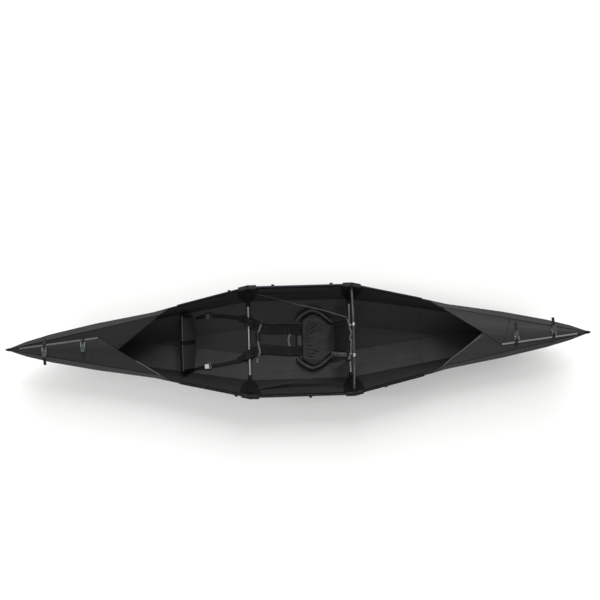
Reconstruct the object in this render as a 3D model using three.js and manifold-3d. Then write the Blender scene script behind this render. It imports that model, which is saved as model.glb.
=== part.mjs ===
// A folding kayak: one black corrugated sheet folded into a hull, closed by two deck flaps at each end,
// stiffened by gunwales and ribs, with a harness seat and a footrest. Millimetres, +Z up.
// The origin is on the ground below the middle of the hull, +X points to the stern and +Y to starboard.

import * as THREE from 'three';
import { mergeVertices } from 'three/addons/utils/BufferGeometryUtils.js';
import Module from 'manifold-3d';

const wasm = await Module();
wasm.setup();

// Hull sizes

const halfLength = 1845;
const tipCapLength = 30;
const sheetEndX = halfLength - tipCapLength;
const ribX = halfLength * 0.179;
const gunwaleEndX = halfLength * 0.42;
const innerFoldX = halfLength * 0.434;
const coamingFootX = halfLength * 0.448;
const coamingX = halfLength * 0.477;
const keelApexX = halfLength * 0.504;
const coamingApexX = halfLength * 0.622;
const outerFoldX = halfLength * 0.699;
const forefootX = halfLength * 0.851;
const stemX = halfLength * 0.932;

const halfBeam = 348;
const keelHalfWidth = 86;
const chineHalfWidth = 260;
const creaseHalfWidth = 193;
const depth = 300;
const creaseHeight = 325;
const tipHeight = 338;
const sheetThickness = 4;
const deckSlopeShare = 0.21;
const seatGap = 0.3;
const sheetFit = 0.5;
const rowSpacing = 90;
const panelStrips = 3;

// Places along the hull where the shares below are given, from the middle to the tip
const stations = [0, ribX, innerFoldX, keelApexX, outerFoldX, forefootX, stemX, halfLength];
const keelHeightShares = [0, 0, 0, 0.012, 0.127, 0.317, 0.6, 1];
const chineWidthShares = [1, 1, 0.704, 0.62, 0.392, 0.215, 0.112, 0];
const chineHeightShares = [0.16, 0.16, 0.167, 0.187, 0.333, 0.583, 0.817, 1.06];
const gunwaleWidthShares = [1, 1, 0.687, 0.594, 0.422, 0.253, 0.135, 0];
const gunwaleHeightShares = [1, 1, 0.99, 0.98, 0.953, 0.993, 1.04, 1.1];

// Deck flaps and their closures

const flapSetback = sheetThickness;
const railFit = 0.3;
const railWall = 1.2;
const railWidth = 9;
const flapLift = sheetThickness + railWall + railFit + seatGap + sheetFit * 2;
const underOverlapShare = 0.15;
const topOverlap = 62;
const railEndX = halfLength * 0.688;
const railStopX = halfLength * 0.951;
const flapTipX = sheetEndX - tipCapLength / 2;
const crownRadius = 14;
const closureXs = [halfLength * 0.738, halfLength * 0.868];
const closure = {
  width: 18, thickness: 2.4, toothPitch: 7, toothHeight: 1.1,
  anchors: [66, 54], tails: [76, 101], rivetRadius: 4.5, rivetHeight: 1.6, clear: 0.8,
};
const buckle = { width: 28, length: 44, wall: 1.6, height: 11, forkLength: 18, pinRadius: 2, fit: 0.25 };
const lever = { length: 46, thickness: 3, lift: 2.2, bossRadius: 4.2 };

// Frame

const gunwale = { width: 13, height: 20, slot: 7, capHeight: 5, wallShare: 0.24, gap: 0.4 };
const knuckle = { legLength: 56, width: 27, above: 9, below: 30, insert: 18, chamfer: 4, fit: 0.35 };
const bolt = { radius: 6, height: 3.5 };
const ribTube = { radius: 8, halfSpan: chineHalfWidth - 24, bendRadius: 40 };
const ribArm = { width: 26, thickness: 13, socketRadius: 12, socketLength: 26, footGap: 4 };
const gusset = { halfWidth: 66, thickness: 2, depthShare: 0.93, rows: 10 };
const thwart = { radius: 9, endZ: 292, rise: 52, shoulderShare: 0.42, bendRadius: 110, bossRadius: 13, bossLength: 24 };
const hook = { wire: 2.4, drop: 20, eye: 7, y: 91 };

// Seat and harness

const softFit = 0.6;
const pad = {
  startX: 18, length: 196, halfWidth: 160, edge: 14, crown: 20, pleatDepth: 3.2, pleats: 13, drawnIn: 0.05,
};
const padWidthShares = [[0, 0.575], [0.12, 0.76], [0.26, 0.93], [0.42, 1], [0.6, 0.93], [0.8, 0.72], [1, 0.53]];
const rim = { width: 26, height: 34, fall: 6 };
const rimPlaces = [
  [-0.18, 0.73], [-0.1, 0.89], [0.04, 1.025], [0.225, 1.145], [0.36, 1.175], [0.59, 1.07], [0.81, 0.87], [1.02, 0.665],
];
const backGap = 17;
const back = {
  footX: pad.startX + pad.length + backGap, footZ: 62, topX: ribX - 18, topZ: 290,
  footHalf: 104, topHalf: 132, thickness: 24, edge: 10, wrap: 12,
};
const backBand = { width: 34, thickness: 3, overhang: 7, share: 0.92, tabWidth: 20, tabGap: 0.4 };
const stay = {
  width: 24, thickness: 2.4, endX: ribX - 40, endY: 142, endZ: 275, anchorX: ribX - 52, anchorShare: 0.55, anchorLength: 20,
  adjusterShare: 0.456, adjusterLength: 46, adjusterWidth: 32, adjusterThickness: 6,
};
const shoulder = { width: 56, thickness: 10, neckWidth: 30, rampLength: 34, rampTop: 13 };
const webbing = { width: 25, thickness: 2.2 };
const shoulderRoutes = {
  port: [
    [16, -75], [-125, -73], [-251, -69], [-325, -86], [-394, -131], [-481, -146], [-597, -160], [-660, -168],
  ],
  starboard: [
    [16, 60], [-120, 64], [-240, 68], [-300, 99], [-345, 126], [-390, 149], [-480, 160], [-582, 170], [-655, 166],
  ],
};
const paddedPoints = { port: 5, starboard: 6 };
const camPoints = { port: 6, starboard: 7 };
const cam = {
  length: 30, width: 36, height: 12, wall: 3, plate: 2, pinHeight: 9.4, pinRadius: 2, bossRadius: 4.2,
  leverLength: 26, leverThickness: 3, fit: 0.25,
};
const sternum = { x: 68 - ribX, fromY: 118, toY: -96, width: 20, thickness: 2, buckleY: 33, buckle: [30, 46, 10] };
const haul = { width: 16, thickness: 3, y: -8, stubEnd: 28, halfSpan: 30, reach: 46 };

// Footrest

const foot = {
  baseX: halfLength * 0.365, ridgeX: halfLength * 0.405, backX: halfLength * 0.429,
  halfWidth: 165, ridgeZ: 205, travel: 60, lean: 18, clear: 0.4,
};
const footBar = { radius: 4, overhang: 9, drop: 7 };
const footStrap = { y: 5, width: 25, thickness: 2.2, sternReach: 0.9, bowReach: 0.45, lean: 0.3 };

// Materials

const finish = (color, roughness, metalness) => new THREE.MeshStandardMaterial({ color, roughness, metalness });
const sheetBlack = finish(0x24252a, 0.55, 0);
const deckBlack = finish(0x34353a, 0.5, 0);
const mouldedBlack = finish(0x111214, 0.45, 0);
const aluminium = finish(0xb9bcc0, 0.35, 0.9);
const steel = finish(0xc9cbcd, 0.25, 1);
const leverGrey = finish(0x6f7a76, 0.4, 0);
const webBlack = finish(0x17181a, 0.9, 0);
const padBlack = finish(0x222326, 0.85, 0);

const kayak = new THREE.Group();

// Builders shared by the pieces

const v = (x, y, z) => new THREE.Vector3(x, y, z);

function piece(name, geometry, material, parent) {
  const mesh = new THREE.Mesh(geometry, material);
  mesh.name = name;
  parent.add(mesh);
  return mesh;
}

function closedGeometry(points, triangles) {
  const places = [];
  for (const triangle of triangles) {
    const corners = triangle.map((index) => points[index]);
    const flat = corners.some((p, i) => p.distanceTo(corners[(i + 1) % corners.length]) < halfLength * 1e-7);
    if (flat) continue;
    for (const p of corners) places.push(p.x, p.y, p.z);
  }
  const geometry = new THREE.BufferGeometry();
  geometry.setAttribute('position', new THREE.Float32BufferAttribute(places, 3));
  return geometry;
}

// A solid between two grids of points that face each other; the first grid is seen from outside
// with its rows running forward and its columns to the right.
function sheetSolid(front, rear) {
  const rows = front.length;
  const columns = front[0].length;
  const points = [...front.flat(), ...rear.flat()];
  const triangles = [];
  const at = (side, row, column) => side * rows * columns + row * columns + column;
  const quad = (a, b, c, d) => triangles.push([a, b, c], [a, c, d]);
  for (let i = 0; i < rows - 1; i++) {
    for (let j = 0; j < columns - 1; j++) {
      quad(at(0, i, j), at(0, i, j + 1), at(0, i + 1, j + 1), at(0, i + 1, j));
      quad(at(1, i, j), at(1, i + 1, j), at(1, i + 1, j + 1), at(1, i, j + 1));
    }
    quad(at(0, i, 0), at(0, i + 1, 0), at(1, i + 1, 0), at(1, i, 0));
    quad(at(0, i, columns - 1), at(1, i, columns - 1), at(1, i + 1, columns - 1), at(0, i + 1, columns - 1));
  }
  for (let j = 0; j < columns - 1; j++) {
    quad(at(0, 0, j), at(1, 0, j), at(1, 0, j + 1), at(0, 0, j + 1));
    quad(at(0, rows - 1, j), at(0, rows - 1, j + 1), at(1, rows - 1, j + 1), at(1, rows - 1, j));
  }
  return outward(closedGeometry(points, triangles));
}

// Turns a closed geometry so that its faces point out
function outward(geometry) {
  const place = geometry.getAttribute('position');
  const corners = [v(0, 0, 0), v(0, 0, 0), v(0, 0, 0)];
  let volume = 0;
  for (let i = 0; i < place.count; i += 3) {
    corners.forEach((corner, k) => corner.fromBufferAttribute(place, i + k));
    volume += corners[0].dot(corners[1].clone().cross(corners[2]));
  }
  if (volume < 0) {
    for (let i = 0; i < place.count; i += 3) {
      corners[1].fromBufferAttribute(place, i + 1);
      corners[2].fromBufferAttribute(place, i + 2);
      place.setXYZ(i + 1, corners[2].x, corners[2].y, corners[2].z);
      place.setXYZ(i + 2, corners[1].x, corners[1].y, corners[1].z);
    }
  }
  return geometry;
}

// A flat band along a route, with its face towards the given up direction
function band(route, width, thickness, up = v(0, 0, 1)) {
  const upAt = (i) => (Array.isArray(up) ? up[i] : up);
  const lower = [];
  const upper = [];
  route.forEach((point, i) => {
    const along = route[Math.min(i + 1, route.length - 1)].clone().sub(route[Math.max(i - 1, 0)]).normalize();
    const side = along.clone().cross(upAt(i)).normalize();
    const lift = side.clone().cross(along).normalize();
    const widthHere = Array.isArray(width) ? width[i] : width;
    const thicknessHere = Array.isArray(thickness) ? thickness[i] : thickness;
    const row = (height) => [-0.5, 0.5].map((share) => point.clone()
      .addScaledVector(side, share * widthHere)
      .addScaledVector(lift, height * thicknessHere));
    lower.push(row(0));
    upper.push(row(1));
  });
  return sheetSolid(upper, lower);
}

// A round bar along a curve
function bar(curve, radius, sides, steps) {
  const shape = new THREE.Shape();
  for (let k = 0; k < sides; k++) {
    const turn = (2 * Math.PI * k) / sides;
    const [a, b] = [radius * Math.cos(turn), radius * Math.sin(turn)];
    if (k === 0) shape.moveTo(a, b);
    else shape.lineTo(a, b);
  }
  return new THREE.ExtrudeGeometry(shape, { steps, bevelEnabled: false, extrudePath: curve });
}

// Straight runs joined by arcs of one radius
function roundedPath(corners, radius) {
  const path = new THREE.CurvePath();
  let start = corners[0];
  for (let i = 1; i < corners.length - 1; i++) {
    const before = corners[i].clone().sub(corners[i - 1]).normalize();
    const after = corners[i + 1].clone().sub(corners[i]).normalize();
    const reach = radius * Math.tan(before.angleTo(after) / 2);
    const enter = corners[i].clone().addScaledVector(before, -reach);
    const leave = corners[i].clone().addScaledVector(after, reach);
    path.add(new THREE.LineCurve3(start, enter));
    path.add(new THREE.QuadraticBezierCurve3(enter, corners[i].clone(), leave));
    start = leave;
  }
  path.add(new THREE.LineCurve3(start, corners[corners.length - 1]));
  return path;
}

function extruded(outline, length) {
  const shape = new THREE.Shape(outline.map(([a, b]) => new THREE.Vector2(a, b)));
  return new THREE.ExtrudeGeometry(shape, { depth: length, bevelEnabled: false });
}

// Places a shape drawn in its own X and Y and extruded along its Z
function placed(geometry, origin, across, up, along) {
  return outward(geometry.applyMatrix4(new THREE.Matrix4().makeBasis(across, up, along).setPosition(origin)));
}

function box(sizeX, sizeY, sizeZ, centre) {
  return new THREE.BoxGeometry(sizeX, sizeY, sizeZ).translate(centre.x, centre.y, centre.z);
}

function cylinder(radius, height, sides, centre, axis) {
  const turn = new THREE.Quaternion().setFromUnitVectors(v(0, 1, 0), axis.clone().normalize());
  return new THREE.CylinderGeometry(radius, radius, height, sides).applyQuaternion(turn)
    .translate(centre.x, centre.y, centre.z);
}

// Booleans

function solid(geometry) {
  const plain = new THREE.BufferGeometry();
  plain.setAttribute('position', geometry.getAttribute('position').clone());
  if (geometry.index) plain.setIndex(geometry.index.clone());
  const merged = mergeVertices(plain, halfLength * 1e-7);
  return new wasm.Manifold(new wasm.Mesh({
    numProp: 3,
    vertProperties: new Float32Array(merged.getAttribute('position').array),
    triVerts: new Uint32Array(merged.index.array),
  }));
}

function geometryOf(manifold) {
  const mesh = manifold.getMesh();
  const geometry = new THREE.BufferGeometry();
  geometry.setAttribute('position', new THREE.BufferAttribute(new Float32Array(mesh.vertProperties), 3));
  geometry.setIndex(new THREE.BufferAttribute(new Uint32Array(mesh.triVerts), 1));
  return geometry;
}

const joined = (...geometries) => geometries.map(solid).reduce((a, b) => a.add(b));
const without = (body, ...geometries) => geometries.map(solid).reduce((a, b) => a.subtract(b), body);

// Hull surface

function between(x, values) {
  const reach = Math.abs(x);
  let i = 0;
  while (i < stations.length - 2 && reach > stations[i + 1]) i++;
  const share = (reach - stations[i]) / (stations[i + 1] - stations[i]);
  return values[i] + (values[i + 1] - values[i]) * share;
}

const mix = (a, b, share) => a + (b - a) * share;
const keelAt = (x) => ({
  y: keelHalfWidth * THREE.MathUtils.clamp((keelApexX - Math.abs(x)) / (keelApexX - ribX), 0, 1),
  z: depth * between(x, keelHeightShares),
});
const chineAt = (x) => ({
  y: chineHalfWidth * between(x, chineWidthShares),
  z: depth * between(x, chineHeightShares),
});
const gunwaleAt = (x) => ({
  y: halfBeam * between(x, gunwaleWidthShares),
  z: depth * between(x, gunwaleHeightShares),
});
function creaseAt(x) {
  const share = (halfLength - Math.abs(x)) / (halfLength - coamingX);
  return { y: creaseHalfWidth * share, z: mix(tipHeight, creaseHeight, share) };
}
function sheetEdgeAt(x) {
  const share = THREE.MathUtils.clamp((Math.abs(x) - coamingFootX) / (coamingX - coamingFootX), 0, 1);
  if (share === 1) return creaseAt(x);
  if (share === 0) return gunwaleAt(x);
  const foot = gunwaleAt(coamingFootX);
  const head = creaseAt(coamingX);
  return { y: mix(foot.y, head.y, share), z: mix(foot.z, head.z, share) };
}

// The folded sheet from its port edge to its starboard edge; a rise lengthens it past both edges in the cockpit
function hullSection(x, rise = 0) {
  const half = [keelAt(x), chineAt(x), gunwaleAt(x), sheetEdgeAt(x)];
  if (rise > 0 && Math.abs(x) < coamingFootX) {
    const panel = Math.hypot(half[2].y - half[1].y, half[2].z - half[1].z);
    const longer = (end) => mix(half[1][end], half[2][end], 1 + rise / panel);
    half[2] = { y: longer('y'), z: longer('z') };
    half[3] = half[2];
  }
  const port = half.map(({ y, z }) => v(x, -y, z)).reverse();
  return [...port, ...half.map(({ y, z }) => v(x, y, z))];
}

// Moves a section towards the inside of the boat by a distance square to its panels
function insetSection(section, distance) {
  const same = (a, b) => a.distanceTo(b) < halfLength * 1e-6;
  return section.map((point, i) => {
    const before = section.slice(0, i).reverse().find((other) => !same(other, point));
    const after = section.slice(i + 1).find((other) => !same(other, point));
    const normal = (from, to) => v(0, -(to.z - from.z), to.y - from.y).normalize();
    const normals = [];
    if (before) normals.push(normal(before, point));
    if (after) normals.push(normal(point, after));
    const way = normals.reduce((sum, one) => sum.clone().add(one), v(0, 0, 0)).normalize();
    return point.clone().addScaledVector(way, distance / way.dot(normals[0]));
  });
}

// Rows along the hull, close enough that the twist of a panel between two of them is small
const rowXs = [0, ribX, gunwaleEndX, innerFoldX, coamingFootX, coamingX, keelApexX, outerFoldX, forefootX, stemX, sheetEndX];
const halfXs = rowXs.slice(1).flatMap((x, i) => {
  const count = Math.ceil((x - rowXs[i]) / rowSpacing);
  return Array.from({ length: count }, (_, k) => mix(rowXs[i], x, (k + 1) / count));
});
const allHullXs = [...halfXs.slice().reverse().map((x) => -x), 0, ...halfXs];

// Each panel gets a few strips across its width for the same reason
function withStrips(section) {
  const fine = [section[0]];
  for (let i = 1; i < section.length; i++) {
    for (let k = 1; k <= panelStrips; k++) fine.push(section[i - 1].clone().lerp(section[i], k / panelStrips));
  }
  return fine;
}

function hullShell(outerInset, innerInset, fromX, toX, rise = 0) {
  const xs = allHullXs.filter((x) => x > fromX - rowSpacing && x < toX + rowSpacing);
  const outer = xs.map((x) => withStrips(insetSection(hullSection(x, rise), outerInset)));
  const inner = xs.map((x) => withStrips(insetSection(hullSection(x, rise), innerInset)));
  return sheetSolid(outer, inner);
}

// Height of the floor's inner face, square to its panel
function floorAt(x, y) {
  const [keel, chine] = [keelAt(x), chineAt(x)];
  if (Math.abs(y) <= keel.y) return keel.z + sheetThickness;
  const slope = (chine.z - keel.z) / (chine.y - keel.y);
  return keel.z + (Math.abs(y) - keel.y) * slope + sheetThickness * Math.hypot(1, slope);
}

// Inner face of a side panel at a height
function sideAt(x, z) {
  const [chine, edge] = [chineAt(x), gunwaleAt(x)];
  const slope = (edge.y - chine.y) / (edge.z - chine.z);
  return chine.y + (z - chine.z) * slope - sheetThickness * Math.hypot(1, slope);
}

piece('hull_skin', hullShell(0, sheetThickness, -halfLength, halfLength), sheetBlack, kayak);

// Deck flaps. Each end is drawn at the bow and the stern is the same turned half round.

function deckHeight(x, y) {
  const crease = creaseAt(x);
  const round = Math.min(crownRadius, crease.y * deckSlopeShare);
  const fall = Math.hypot(y, round) - round;
  return crease.z + deckSlopeShare * (crease.y - fall);
}

const underEdgeAt = (x) => -underOverlapShare * creaseAt(x).y;
const apexY = -underEdgeAt(coamingApexX);

function coamingEdgeAt(x) {
  const share = (x - coamingX) / (coamingApexX - coamingX);
  return mix(creaseHalfWidth, underEdgeAt(coamingApexX), share);
}

function topEdgeAt(x) {
  if (x <= coamingApexX) return mix(creaseHalfWidth, apexY, (x - coamingX) / (coamingApexX - coamingX));
  if (x <= railEndX) return mix(apexY, -topOverlap, (x - coamingApexX) / (railEndX - coamingApexX));
  return -topOverlap * ((halfLength - x) / (halfLength - railEndX));
}

// The top flap climbs over the edge of the one below it
function topLift(x, y) {
  const crease = creaseAt(x).y;
  const share = (crease * 0.85 - y) / (crease * 0.5);
  return flapLift * THREE.MathUtils.smoothstep(share, 0, 1);
}

const flapStartX = coamingX + (coamingApexX - coamingX) * 0.06;
const flapXs = [
  flapStartX, mix(coamingX, coamingApexX, 0.35), mix(coamingX, coamingApexX, 0.7), coamingApexX,
  mix(coamingApexX, railEndX, 0.5), railEndX, mix(railEndX, forefootX, 0.33), mix(railEndX, forefootX, 0.67), forefootX,
  mix(forefootX, stemX, 0.5), stemX, railStopX, flapTipX,
];
const hingeSideShares = [0, 0.15, 0.32, 0.5, 0.68, 0.84, 0.93, 1];
const farSideShares = [0.25, 0.6, 1];

// Distances from the middle at which a flap is drawn: from its hinge to the middle, and past it to its free edge
function flapColumns(x, edge) {
  const hinge = creaseAt(x).y - flapSetback;
  const middle = Math.max(edge, 0);
  return [
    ...hingeSideShares.map((share) => mix(hinge, middle, share)),
    ...farSideShares.map((share) => mix(middle, edge, share)),
  ];
}

// side is +1 for a flap hinged on the positive Y side; edge gives its free edge measured from the hinge side
function flapSolid(side, edge, lift) {
  const rows = flapXs.map((x) => flapColumns(x, edge(x)).map((y) => (
    v(-x, side * y, deckHeight(x, y) + lift(x, y)))));
  const lower = rows.map((row) => row.map((point) => point.clone().add(v(0, 0, -sheetThickness))));
  return sheetSolid(rows, lower);
}

// The channel on the free edge of the top flap
function railSolid(side) {
  const xs = flapXs.filter((x) => x >= railEndX && x <= railStopX);
  const loops = xs.map((x) => {
    const edge = topEdgeAt(x);
    const inside = edge + railWidth;
    const lip = edge - railFit - railWall;
    const top = (y) => deckHeight(x, y) + topLift(x, y) + railFit;
    const under = (y) => top(y) - sheetThickness - railFit * 2;
    const corners = [
      [inside, top(inside)], [inside, top(inside) + railWall], [lip, top(edge) + railWall],
      [lip, under(edge) - railWall], [inside, under(inside) - railWall], [inside, under(inside)],
      [edge - railFit, under(edge)], [edge - railFit, top(edge)],
    ];
    return corners.map(([y, z]) => v(-x, side * y, z));
  });
  return loftLoops(loops);
}

function loftLoops(loops) {
  const size = loops[0].length;
  const points = loops.flat();
  const triangles = [];
  for (let i = 0; i < loops.length - 1; i++) {
    for (let k = 0; k < size; k++) {
      const [a, b] = [i * size + k, i * size + ((k + 1) % size)];
      triangles.push([a, b, b + size], [a, b + size, a + size]);
    }
  }
  const capTriangles = (loop) => {
    const along = loops[loops.length - 1][0].clone().sub(loops[0][0]).normalize();
    const first = v(0, 0, 1).cross(along).normalize();
    const second = along.clone().cross(first);
    const outline = loop.map((p) => new THREE.Vector2(p.dot(first), p.dot(second)));
    const cap = THREE.ShapeUtils.triangulateShape(outline, []);
    const turned = cap.reduce((sum, [a, b, c]) => sum + THREE.ShapeUtils.area([outline[a], outline[b], outline[c]]), 0);
    const wanted = THREE.ShapeUtils.area(outline);
    return turned * wanted < 0 ? cap.map(([a, b, c]) => [a, c, b]) : cap;
  };
  const last = (loops.length - 1) * size;
  for (const [a, b, c] of capTriangles(loops[0])) triangles.push([c, b, a]);
  for (const [a, b, c] of capTriangles(loops[loops.length - 1])) triangles.push([last + a, last + b, last + c]);
  return outward(closedGeometry(points, triangles));
}

// A moulded cap closes the folded ends of the sheet
function tipCap() {
  const inner = hullSection(-sheetEndX);
  const loop = [inner[0], inner[1], inner[2], inner[3], inner[5], inner[6], inner[7]];
  const start = loop.map((point) => point.clone().add(v(-seatGap, 0, 0)));
  const nose = start.map((point) => v(-halfLength, point.y * 0.3, mix(tipHeight * 0.985, point.z, 0.25)));
  const halfway = start.map((point, k) => point.clone().lerp(nose[k], 0.5).add(v(0, point.y * 0.2, 0)));
  return loftLoops([start, halfway, nose]);
}

// The ladder strap: riveted on one side, over the rail, through the ratchet to its loose tail
function closureRoute(x, index) {
  const edges = [x - closure.width / 2, x + closure.width / 2];
  const highest = (height) => Math.max(...edges.map(height));
  const surface = (y) => highest((place) => deckHeight(place, y) + topLift(place, -y));
  const bare = (y) => highest((place) => {
    const [crease, rim] = [creaseAt(place), gunwaleAt(place)];
    if (y <= crease.y) return deckHeight(place, y);
    return crease.z - ((y - crease.y) * (crease.z - rim.z)) / (rim.y - crease.y);
  });
  const edge = Math.max(...edges.map((place) => -topEdgeAt(place)));
  const anchor = closure.anchors[index];
  const crease = creaseAt(x);
  const overRail = surface(edge - railWidth) + railFit + railWall + closure.clear;
  const end = anchor + closure.width * 0.5;
  const corner = Math.max(...edges.map((place) => creaseAt(place).y));
  const turn = anchor > crease.y ? corner : mix(anchor, edge, 0.5);
  const { near, far, base } = ratchetPlace(x);
  const through = base + buckle.wall + closure.clear;
  const tailEnd = -closure.tails[index];
  const tailHeight = surface(Math.max(tailEnd, -crease.y)) + closure.clear * 3;
  const points = [
    [end, bare(end) + closure.clear * 2.5], [turn, bare(turn) + closure.clear * 2.5],
    [edge + railWall + railFit * 2, overRail], [edge - railWidth, overRail],
    [near + closure.thickness, through], [far - closure.thickness, through], [tailEnd, tailHeight],
  ];
  return points.map(([y, z]) => v(-x, y, z));
}

function closureStrap(x, index) {
  const route = closureRoute(x, index);
  const strap = solid(band(route, closure.width, closure.thickness));
  const anchor = route[0].clone().lerp(route[1], 0.4).add(v(0, 0, closure.thickness));
  const rivet = cylinder(closure.rivetRadius, closure.rivetHeight * 2, 12, anchor, v(0, 0, 1));
  const teeth = [];
  const [from, to] = [route[route.length - 2], route[route.length - 1]];
  const length = from.distanceTo(to);
  for (let along = closure.toothPitch; along < length - closure.toothPitch; along += closure.toothPitch) {
    const place = from.clone().lerp(to, along / length).add(v(0, 0, closure.thickness));
    teeth.push(box(closure.width * 0.6, closure.toothPitch * 0.4, closure.toothHeight * 2, place));
  }
  return geometryOf([rivet, ...teeth].map(solid).reduce((a, b) => a.add(b), strap));
}

// The ratchet: a base with two cheeks on the top flap and a fork over the rail
function ratchetPlace(x) {
  const edge = -topEdgeAt(x);
  const plate = edge - buckle.forkLength;
  const [near, far] = [plate, plate - buckle.length];
  const height = (place, y) => deckHeight(place, y) + topLift(place, -y);
  const ends = [x - buckle.width / 2, x + buckle.width / 2];
  const highest = Math.max(...ends.flatMap((place) => [near, far, 0].map((y) => height(place, y))));
  const base = highest + seatGap;
  return { near, far, base, pin: v(-x, mix(near, far, 0.3), base + buckle.height) };
}

function ratchetBase(x) {
  const { near, far, base, pin } = ratchetPlace(x);
  const middle = (near + far) / 2;
  const plate = box(buckle.width, buckle.length, buckle.wall, v(-x, middle, base + buckle.wall / 2));
  const cheekHeight = buckle.height + buckle.wall;
  const cheeks = [-1, 1].map((side) => {
    const outline = [
      [0, 0], [buckle.length, 0], [buckle.length, cheekHeight * 0.35], [buckle.length * 0.55, cheekHeight * 0.75],
      [buckle.length * 0.42, cheekHeight + buckle.wall], [buckle.length * 0.18, cheekHeight + buckle.wall],
      [0, cheekHeight * 0.45],
    ];
    const start = v(-x + (side * buckle.width) / 2 - (side > 0 ? buckle.wall : 0), near, base);
    return placed(extruded(outline, buckle.wall), start, v(0, -1, 0), v(0, 0, 1), v(1, 0, 0));
  });
  const axle = cylinder(buckle.pinRadius, buckle.width - buckle.wall, 10, pin, v(1, 0, 0));
  return geometryOf(joined(plate, ...cheeks, axle));
}

function ratchetLever(x) {
  const { pin } = ratchetPlace(x);
  const inner = buckle.width - 2 * buckle.wall - 2 * buckle.fit;
  const boss = cylinder(lever.bossRadius, inner, 14, pin, v(1, 0, 0));
  const outline = [
    [0, 0], [lever.length * 0.12, lever.lift], [lever.length * 0.6, lever.lift * 1.2], [lever.length * 0.92, lever.lift * 2.2],
    [lever.length, lever.lift * 2.6], [lever.length, lever.lift * 2.6 + lever.thickness * 0.7],
    [lever.length * 0.6, lever.lift * 1.2 + lever.thickness], [lever.length * 0.1, lever.lift + lever.thickness],
    [0, lever.thickness],
  ];
  const start = pin.clone().add(v(-inner / 2, 0, 0));
  const plate = placed(extruded(outline, inner), start, v(0, -1, 0), v(0, 0, 1), v(1, 0, 0));
  const bore = cylinder(buckle.pinRadius + buckle.fit, buckle.width, 14, pin, v(1, 0, 0));
  return geometryOf(without(joined(boss, plate), bore));
}

function buildEnd(end) {
  const group = new THREE.Group();
  if (end === 'stern') group.rotation.z = Math.PI;
  piece(`${end}_top_flap`, flapSolid(-1, topEdgeAt, topLift), deckBlack, group);
  piece(`${end}_under_flap`, flapSolid(1, (x) => (x <= coamingApexX ? coamingEdgeAt(x) : underEdgeAt(x)), () => 0),
    deckBlack, group);
  piece(`${end}_rail`, railSolid(-1), aluminium, group);
  piece(`${end}_tip_cap`, tipCap(), mouldedBlack, group);
  closureXs.forEach((x, index) => {
    const place = index === 0 ? 'inner' : 'outer';
    piece(`${end}_${place}_strap`, closureStrap(x, index), mouldedBlack, group);
    piece(`${end}_${place}_ratchet`, ratchetBase(x), steel, group);
    piece(`${end}_${place}_lever`, ratchetLever(x), leverGrey, group);
  });
  kayak.add(group);
}

buildEnd('bow');
buildEnd('stern');

// Gunwales and knuckles

// One point of a side panel, from 0 at the chine to 1 at the gunwale, moved inwards by a distance
function panelPoint(side, x, share, inset) {
  const section = insetSection(hullSection(x), inset);
  const [low, high] = side > 0 ? [section[5], section[6]] : [section[2], section[1]];
  return low.clone().lerp(high, share);
}

// A line along the middle of the sheet's upper edge, with the directions of a profile set on it
function edgeFrame(side, fromX, toX) {
  const half = sheetThickness / 2;
  const [start, end] = [fromX, toX].map((x) => panelPoint(side, x, 1, half));
  const low = panelPoint(side, (fromX + toX) / 2, 0, half);
  const middle = start.clone().add(end).multiplyScalar(0.5);
  const along = end.clone().sub(start).normalize();
  const rise = middle.sub(low).normalize();
  const up = rise.addScaledVector(along, -rise.dot(along)).normalize();
  return { start, length: start.distanceTo(end), along, up, across: up.clone().cross(along) };
}

function onEdge(frame, outline, from, to) {
  const origin = frame.start.clone().addScaledVector(frame.along, from);
  return placed(extruded(outline, to - from), origin, frame.across, frame.up, frame.along);
}

function gunwaleOutline() {
  const [w, s] = [gunwale.width / 2, gunwale.slot / 2];
  const [top, low] = [gunwale.capHeight, gunwale.capHeight - gunwale.height];
  const round = gunwale.width * gunwale.wallShare;
  return [
    [-w, low], [-s, low], [-s, gunwale.gap], [s, gunwale.gap], [s, low], [w, low],
    [w, top - round], [w - round / 2, top - round / 4], [w / 3, top], [-w / 3, top],
    [-w + round / 2, top - round / 4], [-w, top - round],
  ];
}

function gunwaleRuns() {
  const inside = ribX - knuckle.insert;
  const outside = ribX + knuckle.insert;
  return { bow: [-gunwaleEndX, -outside], mid: [-inside, inside], stern: [outside, gunwaleEndX] };
}

const chamfered = (w, low, high, cut) => [
  [-w + cut, low], [w - cut, low], [w, low + cut], [w, high - cut], [w - cut, high], [-w + cut, high],
  [-w, high - cut], [-w, low + cut],
];

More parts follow.
